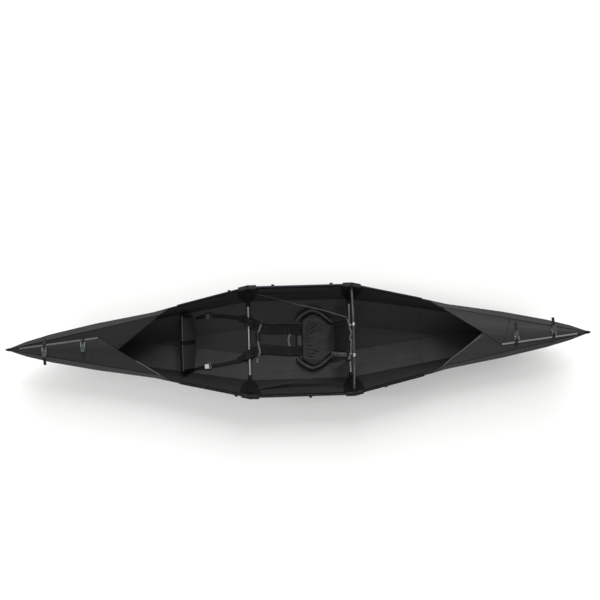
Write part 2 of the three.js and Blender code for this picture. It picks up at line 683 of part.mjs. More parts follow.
function knuckleSolid(side, x) {
  const away = Math.sign(x);
  const legs = [[x, x - away * knuckle.legLength], [x, x + away * knuckle.legLength]];
  const shells = legs.map(([from, to]) => {
    const frame = edgeFrame(side, from, to);
    const outline = chamfered(knuckle.width / 2, -knuckle.below, knuckle.above, knuckle.chamfer);
    return onEdge(frame, outline, -knuckle.width * 0.12, frame.length);
  });
  const rails = Object.values(gunwaleRuns()).map(([from, to]) => {
    const frame = edgeFrame(side, from, to);
    const w = gunwale.width / 2 + knuckle.fit;
    const [low, high] = [gunwale.capHeight - gunwale.height - knuckle.fit, gunwale.capHeight + knuckle.fit];
    return onEdge(frame, [[-w, low], [w, low], [w, high], [-w, high]], -knuckle.fit, frame.length + knuckle.fit);
  });
  const reach = knuckle.legLength * 2;
  const sheet = hullShell(-sheetFit, sheetThickness + sheetFit, x - reach, x + reach, sheetFit);
  const head = panelPoint(side, x, 1, sheetThickness / 2).add(v(0, side * knuckle.width * 0.18, knuckle.above));
  const boltHead = cylinder(bolt.radius, bolt.height * 2, 12, head, v(0, 0, 1));
  const extra = [];
  const bores = [...rails, sheet];
  if (x > 0) {
    const seat = thwartEnd(side);
    const boss = cylinder(thwart.bossRadius, thwart.bossLength, 16, seat, v(0, 1, 0));
    extra.push(boss);
    bores.push(cylinder(thwart.radius + seatGap, thwart.bossLength, 20, thwartSocket(side), v(0, 1, 0)));
  }
  return geometryOf(without(joined(...shells, boltHead, ...extra), ...bores));
}

const thwartEnd = (side) => v(ribX, side * (halfBeam - knuckle.width * 0.5 - thwart.bossLength * 0.35), thwart.endZ);
const thwartSocket = (side) => thwartEnd(side).add(v(0, -side * thwart.bossLength * 0.3, 0));

for (const side of [-1, 1]) {
  const name = side < 0 ? 'port' : 'starboard';
  for (const [place, [from, to]] of Object.entries(gunwaleRuns())) {
    const frame = edgeFrame(side, from, to);
    piece(`gunwale_${name}_${place}`, onEdge(frame, gunwaleOutline(), 0, frame.length), aluminium, kayak);
  }
  for (const [place, x] of [['bow', -ribX], ['stern', ribX]]) {
    piece(`knuckle_${name}_${place}`, knuckleSolid(side, x), mouldedBlack, kayak);
  }
}

// Ribs: a bent tube on the floor and a moulded arm with its reinforcing plate up each side

function tubeHeight(y) {
  const x = ribX + ribTube.radius;
  const slope = (chineAt(x).z - keelAt(x).z) / (chineAt(x).y - keelAt(x).y);
  const square = Math.abs(y) > keelAt(x).y ? Math.hypot(1, slope) : 1;
  return floorAt(x, y) + (ribTube.radius + seatGap) * square;
}

function ribTubeSolid(x) {
  const bendY = keelHalfWidth - ribTube.radius * 0.3;
  const ys = [-ribTube.halfSpan, -bendY, bendY, ribTube.halfSpan];
  const corners = ys.map((y) => v(x, y, Math.abs(y) === bendY ? tubeHeight(0) : tubeHeight(y)));
  return bar(roundedPath(corners, ribTube.bendRadius), ribTube.radius, 12, 24);
}

function ribArmSolid(side, x) {
  const panel = panelPoint(side, x, 0, 0).distanceTo(panelPoint(side, x, 1, 0));
  const top = 1 - (knuckle.below + ribArm.footGap) / panel;
  const base = sheetThickness + seatGap;
  const grid = (shares, widthAt, inset) => shares.map((share) => [-1, 0, 1].map((way) => (
    panelPoint(side, x + way * widthAt(share), share, inset(share)))));
  const steps = Array.from({ length: gusset.rows + 1 }, (_, i) => top * (1 - gusset.depthShare * (i / gusset.rows)));
  const ellipse = (share) => gusset.halfWidth * Math.sqrt(1 - Math.min(1, (top - share) / (top * gusset.depthShare * 1.02)) ** 2);
  const plate = sheetSolid(grid(steps, ellipse, () => base), grid(steps, ellipse, () => base + gusset.thickness));
  const armShares = [top, top * 0.8, top * 0.4, top * 0.1, 0];
  const armWidth = (share) => (ribArm.width / 2) * (1 + 0.25 * share);
  const armDepth = (share) => base + ribArm.thickness * (1.25 - 0.5 * Math.sin(Math.PI * Math.min(1, share * 1.1)));
  const arm = sheetSolid(grid(armShares, armWidth, () => base), grid(armShares, armWidth, armDepth));
  const tubeEnd = v(x, side * ribTube.halfSpan, tubeHeight(ribTube.halfSpan));
  const tubeWay = v(0, side * (ribTube.halfSpan - keelHalfWidth), tubeEnd.z - tubeHeight(keelHalfWidth)).normalize();
  const middle = tubeEnd.clone().addScaledVector(tubeWay, ribArm.socketLength * 0.1);
  const socket = cylinder(ribArm.socketRadius, ribArm.socketLength, 16, middle, tubeWay);
  const bore = cylinder(ribTube.radius + seatGap, ribArm.socketLength, 20,
    tubeEnd.clone().addScaledVector(tubeWay, -ribArm.socketLength / 2 + seatGap), tubeWay);
  const reach = gusset.halfWidth * 2;
  const sheet = hullShell(-ribArm.width, sheetThickness + sheetFit, x - reach, x + reach);
  return geometryOf(without(joined(plate, arm, socket), bore, sheet));
}

for (const [place, x] of [['bow', -ribX], ['stern', ribX]]) {
  piece(`rib_tube_${place}`, ribTubeSolid(x), aluminium, kayak);
  for (const side of [-1, 1]) {
    piece(`rib_arm_${side < 0 ? 'port' : 'starboard'}_${place}`, ribArmSolid(side, x), mouldedBlack, kayak);
  }
}

// The arched thwart over the stern rib, and the two hooks that hang on it

function thwartSolid() {
  const end = Math.abs(thwartSocket(1).y) + thwart.bossLength / 2 - seatGap;
  const crown = thwart.endZ + thwart.rise;
  const corners = [
    v(ribX, -end, thwart.endZ), v(ribX, -end + thwart.bossLength * 1.5, thwart.endZ),
    v(ribX, -halfBeam * thwart.shoulderShare, crown), v(ribX, halfBeam * thwart.shoulderShare, crown),
    v(ribX, end - thwart.bossLength * 1.5, thwart.endZ), v(ribX, end, thwart.endZ),
  ];
  return bar(roundedPath(corners, thwart.bendRadius), thwart.radius, 12, 40);
}

function hookSolid(side) {
  const crown = thwart.endZ + thwart.rise;
  const grip = thwart.radius + hook.wire + seatGap;
  const points = [];
  for (let k = 0; k <= 8; k++) {
    const turn = mix(-0.15, 1, k / 8) * Math.PI;
    points.push(v(ribX + grip * Math.cos(turn), side * hook.y, crown + grip * Math.sin(turn)));
  }
  const low = crown - hook.drop;
  points.push(v(ribX - grip, side * hook.y, mix(crown, low, 0.5)));
  for (let k = 0; k <= 6; k++) {
    const turn = -mix(0, 1.15, k / 6) * Math.PI;
    points.push(v(ribX - grip - hook.eye + hook.eye * Math.cos(turn), side * hook.y, low + hook.eye * Math.sin(turn)));
  }
  return bar(new THREE.CatmullRomCurve3(points), hook.wire, 8, 36);
}

piece('thwart', thwartSolid(), aluminium, kayak);
piece('hook_port', hookSolid(-1), steel, kayak);
piece('hook_starboard', hookSolid(1), steel, kayak);

// Pieces that lie on the floor follow it: a grid of points across a route, lifted by a clearance

function floorRoute(points, spacing) {
  const fine = [];
  points.forEach(([x, y], i) => {
    const [nextX, nextY] = points[Math.min(i + 1, points.length - 1)];
    const count = Math.max(1, Math.ceil(Math.hypot(nextX - x, nextY - y) / spacing));
    for (let k = 0; k < count; k++) fine.push([mix(x, nextX, k / count), mix(y, nextY, k / count), i + k / count]);
  });
  return fine;
}

// widthAt, thicknessAt and liftAt take the place along the route, counted in its given points
function floorBand(points, spacing, widthAt, thicknessAt, liftAt) {
  const route = floorRoute(points, spacing);
  const lower = [];
  const upper = [];
  route.forEach(([x, y, place], i) => {
    const before = route[Math.max(i - 1, 0)];
    const after = route[Math.min(i + 1, route.length - 1)];
    const way = new THREE.Vector2(after[0] - before[0], after[1] - before[1]).normalize();
    const row = [-1, -0.5, 0, 0.5, 1].map((share) => {
      const out = (share * widthAt(place)) / 2;
      const [px, py] = [x + way.y * out, y - way.x * out];
      return { x: px, y: py, z: floorAt(px, py) + softFit + liftAt(px, place), share };
    });
    const thickness = thicknessAt(place);
    lower.push(row.map((p) => v(p.x, p.y, p.z)));
    upper.push(row.map((p) => v(p.x, p.y, p.z + thickness * (1 - 0.35 * p.share ** 4))));
  });
  return sheetSolid(upper, lower);
}

// Seat

function padHalfWidth(share) {
  let i = 0;
  while (i < padWidthShares.length - 2 && share > padWidthShares[i + 1][0]) i++;
  const [[from, low], [to, high]] = [padWidthShares[i], padWidthShares[i + 1]];
  return pad.halfWidth * mix(low, high, (share - from) / (to - from));
}

// The pleats fan out from the middle of the front edge
function padSolid() {
  const columns = pad.pleats * 2;
  const rowShares = [0, 0.05, 0.14, 0.26, 0.38, 0.5, 0.62, 0.74, 0.86, 0.95, 1];
  const pad3 = (share, way, isTop) => {
    const y = way * padHalfWidth(share) * (isTop ? 1 : 1 - pad.drawnIn);
    const x = pad.startX + pad.length * (isTop ? share : mix(pad.drawnIn, 1 - pad.drawnIn, share));
    const floor = floorAt(x, y) + softFit;
    if (!isTop) return v(x, y, floor);
    const dome = (1 - way ** 4) * (1 - (2 * share - 1) ** 4);
    const pleat = Math.round((way + 1) * pad.pleats) % 2 === 1 ? 1 : 0;
    const fade = Math.min(1, dome * 2) * (1 - share * 0.6);
    return v(x, y, floor + pad.edge + pad.crown * dome - pad.pleatDepth * pleat * fade);
  };
  const grid = (isTop) => rowShares.map((share) => (
    Array.from({ length: columns + 1 }, (_, k) => pad3(share, (2 * k) / columns - 1, isTop))));
  return sheetSolid(grid(true), grid(false));
}

function rimSolid(side) {
  const route = rimPlaces.map(([along, out]) => [pad.startX + pad.length * along, pad.halfWidth * out]);
  const loops = route.map(([x, y], i) => {
    const before = route[Math.max(i - 1, 0)];
    const after = route[Math.min(i + 1, route.length - 1)];
    const way = new THREE.Vector2(after[0] - before[0], after[1] - before[1]).normalize();
    const at = (across, height) => {
      const [px, py] = [x + (way.y * across * rim.width) / 2, y - (way.x * across * rim.width) / 2];
      const low = floorAt(px, py) + softFit;
      return v(px, side * py, height === 0 ? low : floorAt(x, y) + rim.height * height - rim.fall * Math.abs(across) ** 2);
    };
    return [at(-0.8, 0), at(0.8, 0), at(1, 0.55), at(0.7, 1), at(0, 1), at(-0.7, 1), at(-1, 0.55)];
  });
  return loftLoops(loops);
}

// A point of the backrest: share 0 at its foot to 1 at its top, across from -1 to 1, depth behind its front face
function backPoint(share, across, behind) {
  const length = Math.hypot(back.topX - back.footX, back.topZ - back.footZ);
  const rise = v((back.topX - back.footX) / length, 0, (back.topZ - back.footZ) / length);
  const rear = v(rise.z, 0, -rise.x);
  const half = mix(back.footHalf, back.topHalf, share);
  return v(back.footX, across * half, back.footZ)
    .addScaledVector(rise, share * length)
    .addScaledVector(rear, behind - back.wrap * across ** 4);
}

function backrestSolid() {
  const acrossSteps = [-1, -0.93, -0.75, -0.5, -0.25, 0, 0.25, 0.5, 0.75, 0.93, 1];
  const rowShares = [0, 0.04, 0.14, 0.32, 0.5, 0.68, 0.86, 0.96, 1];
  const front = (share, across) => {
    const dome = (1 - across ** 6) * (1 - (2 * share - 1) ** 6);
    const channel = Math.abs(Math.abs(across) - 0.5) < 0.01 ? 0.25 * back.edge : 0;
    return backPoint(share, across, -mix(back.edge, back.thickness, dome) + channel * dome);
  };
  const grid = (place) => rowShares.map((share) => acrossSteps.map((across) => place(share, across)));
  return sheetSolid(grid(front), grid((share, across) => backPoint(share, across, 0)));
}

// The band behind the backrest, with two tabs up to the hooks
function backBandSolid() {
  const length = Math.hypot(back.topX - back.footX, back.topZ - back.footZ);
  const halfShare = backBand.width / 2 / length;
  const reach = 1 + backBand.overhang / mix(back.footHalf, back.topHalf, backBand.share);
  const steps = [-reach, -0.93, -0.75, -0.5, -0.25, 0, 0.25, 0.5, 0.75, 0.93, reach];
  const grid = (behind) => [-1, 1].map((way) => steps.map((across) => (
    backPoint(backBand.share + way * halfShare, across, behind))));
  const body = solid(sheetSolid(grid(softFit), grid(softFit + backBand.thickness)));
  const tabs = [-1, 1].map((side) => {
    const onRear = (share) => (
      backPoint(share, (side * hook.y) / mix(back.footHalf, back.topHalf, share), softFit * 3));
    const high = hookCurlBottom(side).add(v(0, 0, -backBand.tabGap));
    return band([onRear(backBand.share), onRear(1), high], backBand.tabWidth, backBand.thickness, v(1, 0, 0));
  });
  return geometryOf(tabs.map(solid).reduce((a, b) => a.add(b), body));
}

function hookCurlBottom(side) {
  const grip = thwart.radius + hook.wire + seatGap;
  const low = thwart.endZ + thwart.rise - hook.drop;
  return v(ribX - grip - hook.eye, side * hook.y, low - hook.eye - hook.wire);
}

function stayLine(side) {
  const inset = sheetThickness + gusset.thickness + seatGap * 2;
  const foot = (x) => panelPoint(side, x, stay.anchorShare, inset);
  const [start, bend] = [-stay.anchorX - stay.anchorLength / 2, -stay.anchorX + stay.anchorLength / 2].map(foot);
  const end = v(stay.endX, side * stay.endY, stay.endZ);
  const low = panelPoint(side, -stay.anchorX, 0, inset);
  const high = panelPoint(side, -stay.anchorX, 1, inset);
  const rise = high.sub(low).normalize();
  const normal = v(0, -side * rise.z, side * rise.y);
  return { start, bend, end, normal, level: v(0, -side, 0) };
}

function staySolid(side) {
  const { start, bend, end, normal, level } = stayLine(side);
  const strap = solid(band([start, bend, end], stay.width, stay.thickness, [normal, normal, level]));
  const half = stay.adjusterLength / 2 / bend.distanceTo(end);
  const run = [-half, half].map((way) => bend.clone().lerp(end, stay.adjusterShare + way));
  const adjuster = solid(band(run, stay.adjusterWidth, stay.adjusterThickness, level));
  return geometryOf(strap.add(adjuster));
}

piece('seat_pad', padSolid(), padBlack, kayak);
piece('seat_rim_port', rimSolid(-1), padBlack, kayak);
piece('seat_rim_starboard', rimSolid(1), padBlack, kayak);
piece('backrest', backrestSolid(), padBlack, kayak);
piece('backrest_band', backBandSolid(), webBlack, kayak);
piece('stay_port', staySolid(-1), webBlack, kayak);
piece('stay_starboard', staySolid(1), webBlack, kayak);

// Shoulder harness, lying on the floor in front of the seat

// The strap climbs over the bow rib tube
function tubeLift(x) {
  const away = Math.abs(x + ribX);
  const share = THREE.MathUtils.clamp((shoulder.rampLength + shoulder.rampTop - away) / shoulder.rampLength, 0, 1);
  return (ribTube.radius * 2 + softFit * 4) * share;
}

function shoulderSolid(name) {
  const route = shoulderRoutes[name];
  const last = paddedPoints[name] - 1;
  const buckleAt = camPoints[name];
  const isPadded = (place) => place <= last - 0.25;
  const widthAt = (place) => {
    if (isPadded(place)) return shoulder.width;
    return place < last ? shoulder.neckWidth : webbing.width;
  };
  const thicknessAt = (place) => (isPadded(place) ? shoulder.thickness : webbing.thickness);
  const liftAt = (x, place) => {
    const away = Math.abs(x - route[buckleAt][0]);
    const atBuckle = away < cam.length / 2 + shoulder.neckWidth ? cam.plate + softFit * 2 : 0;
    return tubeLift(x) + (place > last ? atBuckle : 0);
  };
  return floorBand(route, shoulder.neckWidth, widthAt, thicknessAt, liftAt);
}

// Cam buckles stand on the sloping floor; the group carries their place and tilt
function camGroup(name) {
  const route = shoulderRoutes[name];
  const [x, y] = route[camPoints[name]];
  const [fromX, fromY] = route[camPoints[name] - 1];
  const floor = (px, py) => v(px, py, floorAt(px, py) + softFit);
  const origin = floor(x, y);
  const step = cam.width / 4;
  const along = floor(x + (x - fromX) * 0.1, y + (y - fromY) * 0.1).sub(origin).normalize();
  const across = floor(x, y + step).sub(floor(x, y - step));
  across.addScaledVector(along, -across.dot(along)).normalize();
  const up = along.clone().cross(across);
  const basis = up.z < 0 ? [along, across.negate(), up.negate()] : [along, across, up];
  const group = new THREE.Group();
  group.applyMatrix4(new THREE.Matrix4().makeBasis(...basis).setPosition(origin));
  return group;
}

function camBase() {
  const inner = cam.width - cam.wall * 2;
  const plate = box(cam.length, cam.width, cam.plate, v(0, 0, cam.plate / 2));
  const cheeks = [-1, 1].map((side) => (
    box(cam.length, cam.wall, cam.height, v(0, (side * (inner + cam.wall)) / 2, cam.height / 2))));
  const bridge = box(cam.wall * 1.5, inner + cam.wall, cam.wall, v(-cam.length / 2 + cam.wall, 0, cam.height - cam.wall / 2));
  const pin = cylinder(cam.pinRadius, inner + cam.wall, 10, v(0, 0, cam.pinHeight), v(0, 1, 0));
  return geometryOf(joined(plate, ...cheeks, bridge, pin));
}

function camLever() {
  const inner = cam.width - cam.wall * 2 - cam.fit * 4;
  const boss = cylinder(cam.bossRadius, inner, 14, v(0, 0, cam.pinHeight), v(0, 1, 0));
  const tab = box(cam.leverLength, inner, cam.leverThickness,
    v(cam.leverLength / 2, 0, cam.pinHeight + cam.bossRadius - cam.leverThickness / 2));
  const bore = cylinder(cam.pinRadius + cam.fit, cam.width, 14, v(0, 0, cam.pinHeight), v(0, 1, 0));
  return geometryOf(without(joined(boss, tab), bore));
}

for (const name of ['port', 'starboard']) {
  piece(`shoulder_strap_${name}`, shoulderSolid(name), padBlack, kayak);
  const group = camGroup(name);
  piece(`cam_buckle_${name}`, camBase(), steel, group);
  piece(`cam_lever_${name}`, camLever(), steel, group);
  kayak.add(group);
}

function sternumSolid() {
  const lift = shoulder.thickness + softFit + seatGap;
  const strap = floorBand([[sternum.x, sternum.fromY], [sternum.x, sternum.toY]], sternum.buckle[0] / 2,
    () => sternum.width, () => sternum.thickness, () => lift);
  const [sizeX, sizeY, sizeZ] = sternum.buckle;
  const middle = floorAt(sternum.x, sternum.buckleY) + lift + sizeZ / 2;
  const clasp = box(sizeX, sizeY, sizeZ, v(sternum.x, sternum.buckleY, middle));
  return geometryOf(joined(strap, clasp));
}

function haulSolid() {
  const flat = (points) => floorBand(points, haul.width, () => haul.width, () => haul.thickness, () => 0);
  const arc = Array.from({ length: 13 }, (_, k) => {
    const turn = (Math.PI * k) / 12;
    return [-haul.stubEnd - haul.reach * Math.sin(turn), haul.y + haul.halfSpan * Math.cos(turn)];
  });
  const end = haul.halfSpan + haul.width / 2;
  const crossbar = flat([[-haul.stubEnd, haul.y - end], [-haul.stubEnd, haul.y + end]]);
  return geometryOf(joined(flat([[pad.startX - softFit, haul.y], [-haul.stubEnd, haul.y]]), crossbar, flat(arc)));
}

piece('sternum_strap', sternumSolid(), webBlack, kayak);
piece('haul_handle', haulSolid(), webBlack, kayak);

// Footrest: a folded sheet, the bar along its ridge and the strap over both. It slides towards the bow.

// The highest floor that a foot meets on its way: it starts up to a lean nearer the bow than its base line
function footFloor(x, y) {
  const reach = foot.travel + foot.lean;
  const places = [0, 0.25, 0.5, 0.75, 1].map((share) => floorAt(-(x + reach * share), y));
  return Math.max(...places) + foot.clear;
}

function footrestSolid() {
  const flat = [-1, -0.7, -0.4, -0.15, 0.15, 0.4, 0.7, 1].map((way) => way * foot.halfWidth);
  const halves = [foot.baseX - foot.ridgeX, foot.backX - foot.ridgeX];
  const ridgeDrop = sheetThickness * Math.hypot(1, foot.ridgeZ / halves[1]);
  const grid = (inset) => [1, 0.55, 0, 0.55, 1].map((share, row) => flat.map((y) => {
    if (share === 0) return v(-foot.ridgeX, y, foot.ridgeZ - inset * ridgeDrop);
    const half = row < 2 ? halves[0] : halves[1];
    const z = mix(foot.ridgeZ, footFloor(foot.ridgeX + half, y), share);
    const inward = inset * Math.sign(half) * sheetThickness * Math.hypot(1, half / foot.ridgeZ);
    return v(-(foot.ridgeX + (half * (foot.ridgeZ - z)) / foot.ridgeZ - inward), y, z);
  }));
  return sheetSolid(grid(0), grid(1));
}

const slopeOf = (baseX) => Math.hypot(baseX - foot.ridgeX, foot.ridgeZ);

// Distance down from the ridge on the face that reaches the floor at a given place, and square out from it
function onFace(baseX, down, out) {
  const run = baseX - foot.ridgeX;
  const [along, drop] = [run / slopeOf(baseX), foot.ridgeZ / slopeOf(baseX)];
  const outward = out * Math.sign(run);
  return v(-foot.ridgeX - along * down - drop * outward, 0, foot.ridgeZ - drop * down + Math.abs(along) * out);
}

const onBowFace = (down, out) => onFace(foot.backX, down, out);
const onSternFace = (down, out) => onFace(foot.baseX, down, out);

function footBarSolid() {
  const middle = onBowFace(footBar.drop, footBar.radius + seatGap);
  return cylinder(footBar.radius, (foot.halfWidth + footBar.overhang) * 2, 14, middle, v(0, 1, 0));
}

function footStrapSolid() {
  const over = footBar.radius * 2 + softFit * 2;
  const route = [
    onSternFace(slopeOf(foot.baseX) * footStrap.sternReach, softFit), onSternFace(footBar.radius, softFit),
    v(-foot.ridgeX, 0, foot.ridgeZ + softFit * 2),
    onBowFace(footBar.drop - footBar.radius, over), onBowFace(footBar.drop + footBar.radius, over),
    onBowFace(footBar.drop + footBar.radius * 4, softFit), onBowFace(slopeOf(foot.backX) * footStrap.bowReach, softFit),
  ].map((point) => point.add(v(0, footStrap.y, 0)));
  const [level, toBow] = [v(0, 0, 1), v(-1, 0, 0).applyAxisAngle(v(0, 1, 0), footStrap.lean)];
  return band(route, footStrap.width, footStrap.thickness, [level, level, level, level, toBow, toBow, toBow]);
}

piece('footrest', footrestSolid(), sheetBlack, kayak);
piece('footrest_bar', footBarSolid(), aluminium, kayak);
piece('footrest_strap', footStrapSolid(), webBlack, kayak);

export default kayak;
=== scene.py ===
"""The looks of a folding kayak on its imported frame: sheet, rails, padded harness seat and footrest.

Metres, +X to the stern, +Y to starboard, +Z up, the ground at zero.
"""

import math

import bpy
from mathutils import Matrix, Vector
from mathutils.bvhtree import BVHTree


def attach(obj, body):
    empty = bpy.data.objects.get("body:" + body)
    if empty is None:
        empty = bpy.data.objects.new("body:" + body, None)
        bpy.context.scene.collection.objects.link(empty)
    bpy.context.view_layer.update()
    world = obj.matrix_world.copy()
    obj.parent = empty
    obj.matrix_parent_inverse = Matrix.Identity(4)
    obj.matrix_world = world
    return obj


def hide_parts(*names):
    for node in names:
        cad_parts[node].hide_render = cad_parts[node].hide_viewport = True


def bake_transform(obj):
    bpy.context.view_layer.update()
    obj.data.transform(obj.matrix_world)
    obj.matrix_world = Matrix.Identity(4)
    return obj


bl_info = {
    "name": "Folding kayak",
    "version": (1, 0, 0),
    "blender": (4, 5, 0),
    "location": "View3D > Sidebar > Kayak",
    "description": "Builds the soft goods, small fittings, materials and studio of a folding kayak",
    "category": "Object",
}

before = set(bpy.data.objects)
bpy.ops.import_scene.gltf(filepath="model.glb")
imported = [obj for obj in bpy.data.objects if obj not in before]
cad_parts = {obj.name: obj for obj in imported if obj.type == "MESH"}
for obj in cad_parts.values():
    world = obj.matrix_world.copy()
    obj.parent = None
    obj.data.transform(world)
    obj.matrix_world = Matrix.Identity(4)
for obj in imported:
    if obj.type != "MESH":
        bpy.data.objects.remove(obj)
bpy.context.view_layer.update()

# Facts of the hull, as the frame has them

HALF_LENGTH = 1.845
RIB_X = HALF_LENGTH * 0.179
# Half the width of the flat keel panel, which narrows to a point at the apex
KEEL_HALF = 0.086
KEEL_APEX_X = HALF_LENGTH * 0.504
SHEET = 0.004
# Stations from the middle to each end, with the keel's height and the chine's place at each
STATIONS = [0, RIB_X, HALF_LENGTH * 0.434, KEEL_APEX_X, HALF_LENGTH * 0.699]
KEEL_HEIGHTS = [0, 0, 0, 0.0036, 0.0381]
CHINE_WIDTHS = [0.26, 0.26, 0.183, 0.1612, 0.1019]
CHINE_HEIGHTS = [0.048, 0.048, 0.0501, 0.0561, 0.0999]
# Heights to look down from: over the deck, between deck and floor, and under the gunwales
ABOVE_DECK = 0.5
BELOW_DECK = 0.24
BELOW_GUNWALES = 0.27
# The boat's two ends lie along X and its two sides along Y
ENDS = {"bow": -1, "stern": 1}
SIDES = {"port": -1, "starboard": 1}
UP = Vector((0, 0, 1))


def mix(a, b, share):
    return a + (b - a) * share


def smooth_step(share):
    share = min(1.0, max(0.0, share))
    return share * share * (3 - 2 * share)


def between(x, values):
    """A value read off between the stations, the same toward bow and stern."""
    reach = abs(x)
    i = 0
    while i < len(STATIONS) - 2 and reach > STATIONS[i + 1]:
        i += 1
    share = (reach - STATIONS[i]) / (STATIONS[i + 1] - STATIONS[i])
    return mix(values[i], values[i + 1], share)


def bell(distance, half):
    """A rounded bump that falls off within a few times its half width."""
    return math.exp(-((distance / half) ** 2))


def dome(across, along):
    """The swell of a filled pad: 1 in the middle and 0 at its edges, which are at -1 and 1."""
    return math.sqrt(max(0.0, 1 - across**4)) * math.sqrt(max(0.0, 1 - along**4))


def floor_height(x, y):
    """Height of the floor's inner face."""
    keel_y = KEEL_HALF * min(1, max(0, (KEEL_APEX_X - abs(x)) / (KEEL_APEX_X - RIB_X)))
    keel_z = between(x, KEEL_HEIGHTS)
    if abs(y) <= keel_y:
        return keel_z + SHEET
    slope = (between(x, CHINE_HEIGHTS) - keel_z) / (between(x, CHINE_WIDTHS) - keel_y)
    return keel_z + (abs(y) - keel_y) * slope + SHEET * math.hypot(1, slope)


def floor_point(x, y, above):
    return Vector((x, y, floor_height(x, y) + above))


# Materials


def linear(code):
    """A linear colour from an sRGB hex value."""
    parts = [int(code[i : i + 2], 16) / 255 for i in (1, 3, 5)]
    return [c / 12.92 if c <= 0.04045 else ((c + 0.055) / 1.055) ** 2.4 for c in parts] + [1.0]


def add_node(material, kind, inputs=None, **settings):
    """Adds a node with its settings; an input is a value or the socket that feeds it."""
    node = material.node_tree.nodes.new(kind)
    for key, value in settings.items():
        setattr(node, key, value)
    for socket, source in (inputs or {}).items():
        if isinstance(source, bpy.types.NodeSocket):
            material.node_tree.links.new(source, node.inputs[socket])
        else:
            node.inputs[socket].default_value = source
    return node


def new_material(name):
    material = bpy.data.materials.new(name)
    material.use_nodes = True
    material.node_tree.nodes.clear()
    return material


def two_colours(material, factor, first, second):
    """A blend of two colours by a factor."""
    node = add_node(material, "ShaderNodeMix", data_type="RGBA")
    material.node_tree.links.new(factor, node.inputs[0])
    node.inputs[6].default_value = linear(first)
    node.inputs[7].default_value = linear(second)
    return node.outputs[2]


def value_range(material, factor, low, high):
    return add_node(
        material, "ShaderNodeMapRange", {"Value": factor, "To Min": low, "To Max": high}
    ).outputs[0]


def surface(material, bumps=(), **sockets):
    """Closes a material: a principled shader, with bumps given as (height, distance in metres)."""
    normal = None
    for height, distance in bumps:
        node = add_node(material, "ShaderNodeBump", {"Height": height, "Distance": distance})
        if normal is not None:
            material.node_tree.links.new(normal, node.inputs["Normal"])
        normal = node.outputs[0]
    names = {key.replace("_", " "): value for key, value in sockets.items()}
    shader = add_node(material, "ShaderNodeBsdfPrincipled", names)
    if normal is not None:
        material.node_tree.links.new(normal, shader.inputs["Normal"])
    add_node(material, "ShaderNodeOutputMaterial", {"Surface": shader.outputs[0]})
    return material


def object_place(material):
    return add_node(material, "ShaderNodeTexCoord").outputs["Object"]


def noise_at(material, place, scale, detail=2.0, **more):
    inputs = {"Vector": place, "Scale": scale, "Detail": detail, **more}
    return add_node(material, "ShaderNodeTexNoise", inputs).outputs["Fac"]


# Flutes of the sheet are 5 mm apart, finer than a pixel here, so they are drawn 15 mm apart and faint
FLUTE_SPACING = 0.015


def fluted_polypropylene(name, colour, scuffed, shine=0.3):
    """Twin-wall polypropylene sheet, extruded: satin black with faint lengthwise ribs and dull scuffs."""
    # Dull areas are 450 mm wide, clouds 110 mm, and streaks 17 mm wide and 500 mm long
    material = new_material(name)
    place = object_place(material)
    axes = add_node(material, "ShaderNodeSeparateXYZ", {"Vector": place})
    side = add_node(material, "ShaderNodeMath", {0: axes.outputs["Y"]}, operation="ABSOLUTE")
    across = add_node(material, "ShaderNodeMath", {0: side.outputs[0], 1: axes.outputs["Z"]})
    per_metre = 2 * math.pi / FLUTE_SPACING
    turns = add_node(material, "ShaderNodeMath", {0: across.outputs[0], 1: per_metre}, operation="MULTIPLY")
    ribs = add_node(material, "ShaderNodeMath", {0: turns.outputs[0]}, operation="SINE")
    broad = noise_at(material, place, 2.2, 3.0)
    cloud = noise_at(material, place, 9.0, 4.0)
    stretched = add_node(material, "ShaderNodeMapping", {"Vector": place, "Scale": (2.0, 60.0, 60.0)})
    streaks = noise_at(material, stretched.outputs[0], 1.0, 2.0)
    shade = add_node(material, "ShaderNodeMath", {0: broad, 1: streaks}, operation="MULTIPLY")
    base = two_colours(material, shade.outputs[0], colour, scuffed)
    return surface(
        material,
        [(ribs.outputs[0], 0.00004), (cloud, 0.0015), (streaks, 0.0003)],
        Base_Color=base,
        Roughness=value_range(material, cloud, 0.5, 0.72),
        Specular_IOR_Level=shine,
        IOR=1.49,
    )


def moulded_plastic(name, colour, worn):
    """Injection-moulded nylon, or sheet pressed along a score: dull, with a pebble grain and wear."""
    # Grain of 1.1 mm, and worn patches of 25 mm
    material = new_material(name)
    place = object_place(material)
    grain = noise_at(material, place, 900.0)
    wear = noise_at(material, place, 40.0, 4.0)
    base = two_colours(material, wear, colour, worn)
    return surface(
        material,
        [(grain, 0.00012)],
        Base_Color=base,
        Roughness=value_range(material, wear, 0.5, 0.72),
        Specular_IOR_Level=0.18,
        IOR=1.53,
    )


# Hairlines for each metre along X, Y and Z: 2 mm apart and 330 mm long on the extrusions, and drawn 11 mm
# apart and 670 mm long on tubes and rails, where finer ones don't show
EXTRUDED_LINES = (3.0, 500.0, 500.0)
TUBE_LINES = (90.0, 1.5, 90.0)
RAIL_LINES = (1.5, 90.0, 90.0)


def anodised_aluminium(name, colour, worn, streak_scale):
    """Anodised aluminium, extruded or drawn: soft satin metal with hairlines along its length."""
    material = new_material(name)
    place = object_place(material)
    mapping = add_node(material, "ShaderNodeMapping", {"Vector": place, "Scale": streak_scale})
    lines = noise_at(material, mapping.outputs[0], 1.0, 3.0)
    base = two_colours(material, lines, colour, worn)
    return surface(
        material,
        [(lines, 0.00001)],
        Base_Color=base,
        Metallic=1.0,
        Roughness=value_range(material, lines, 0.3, 0.4),
    )


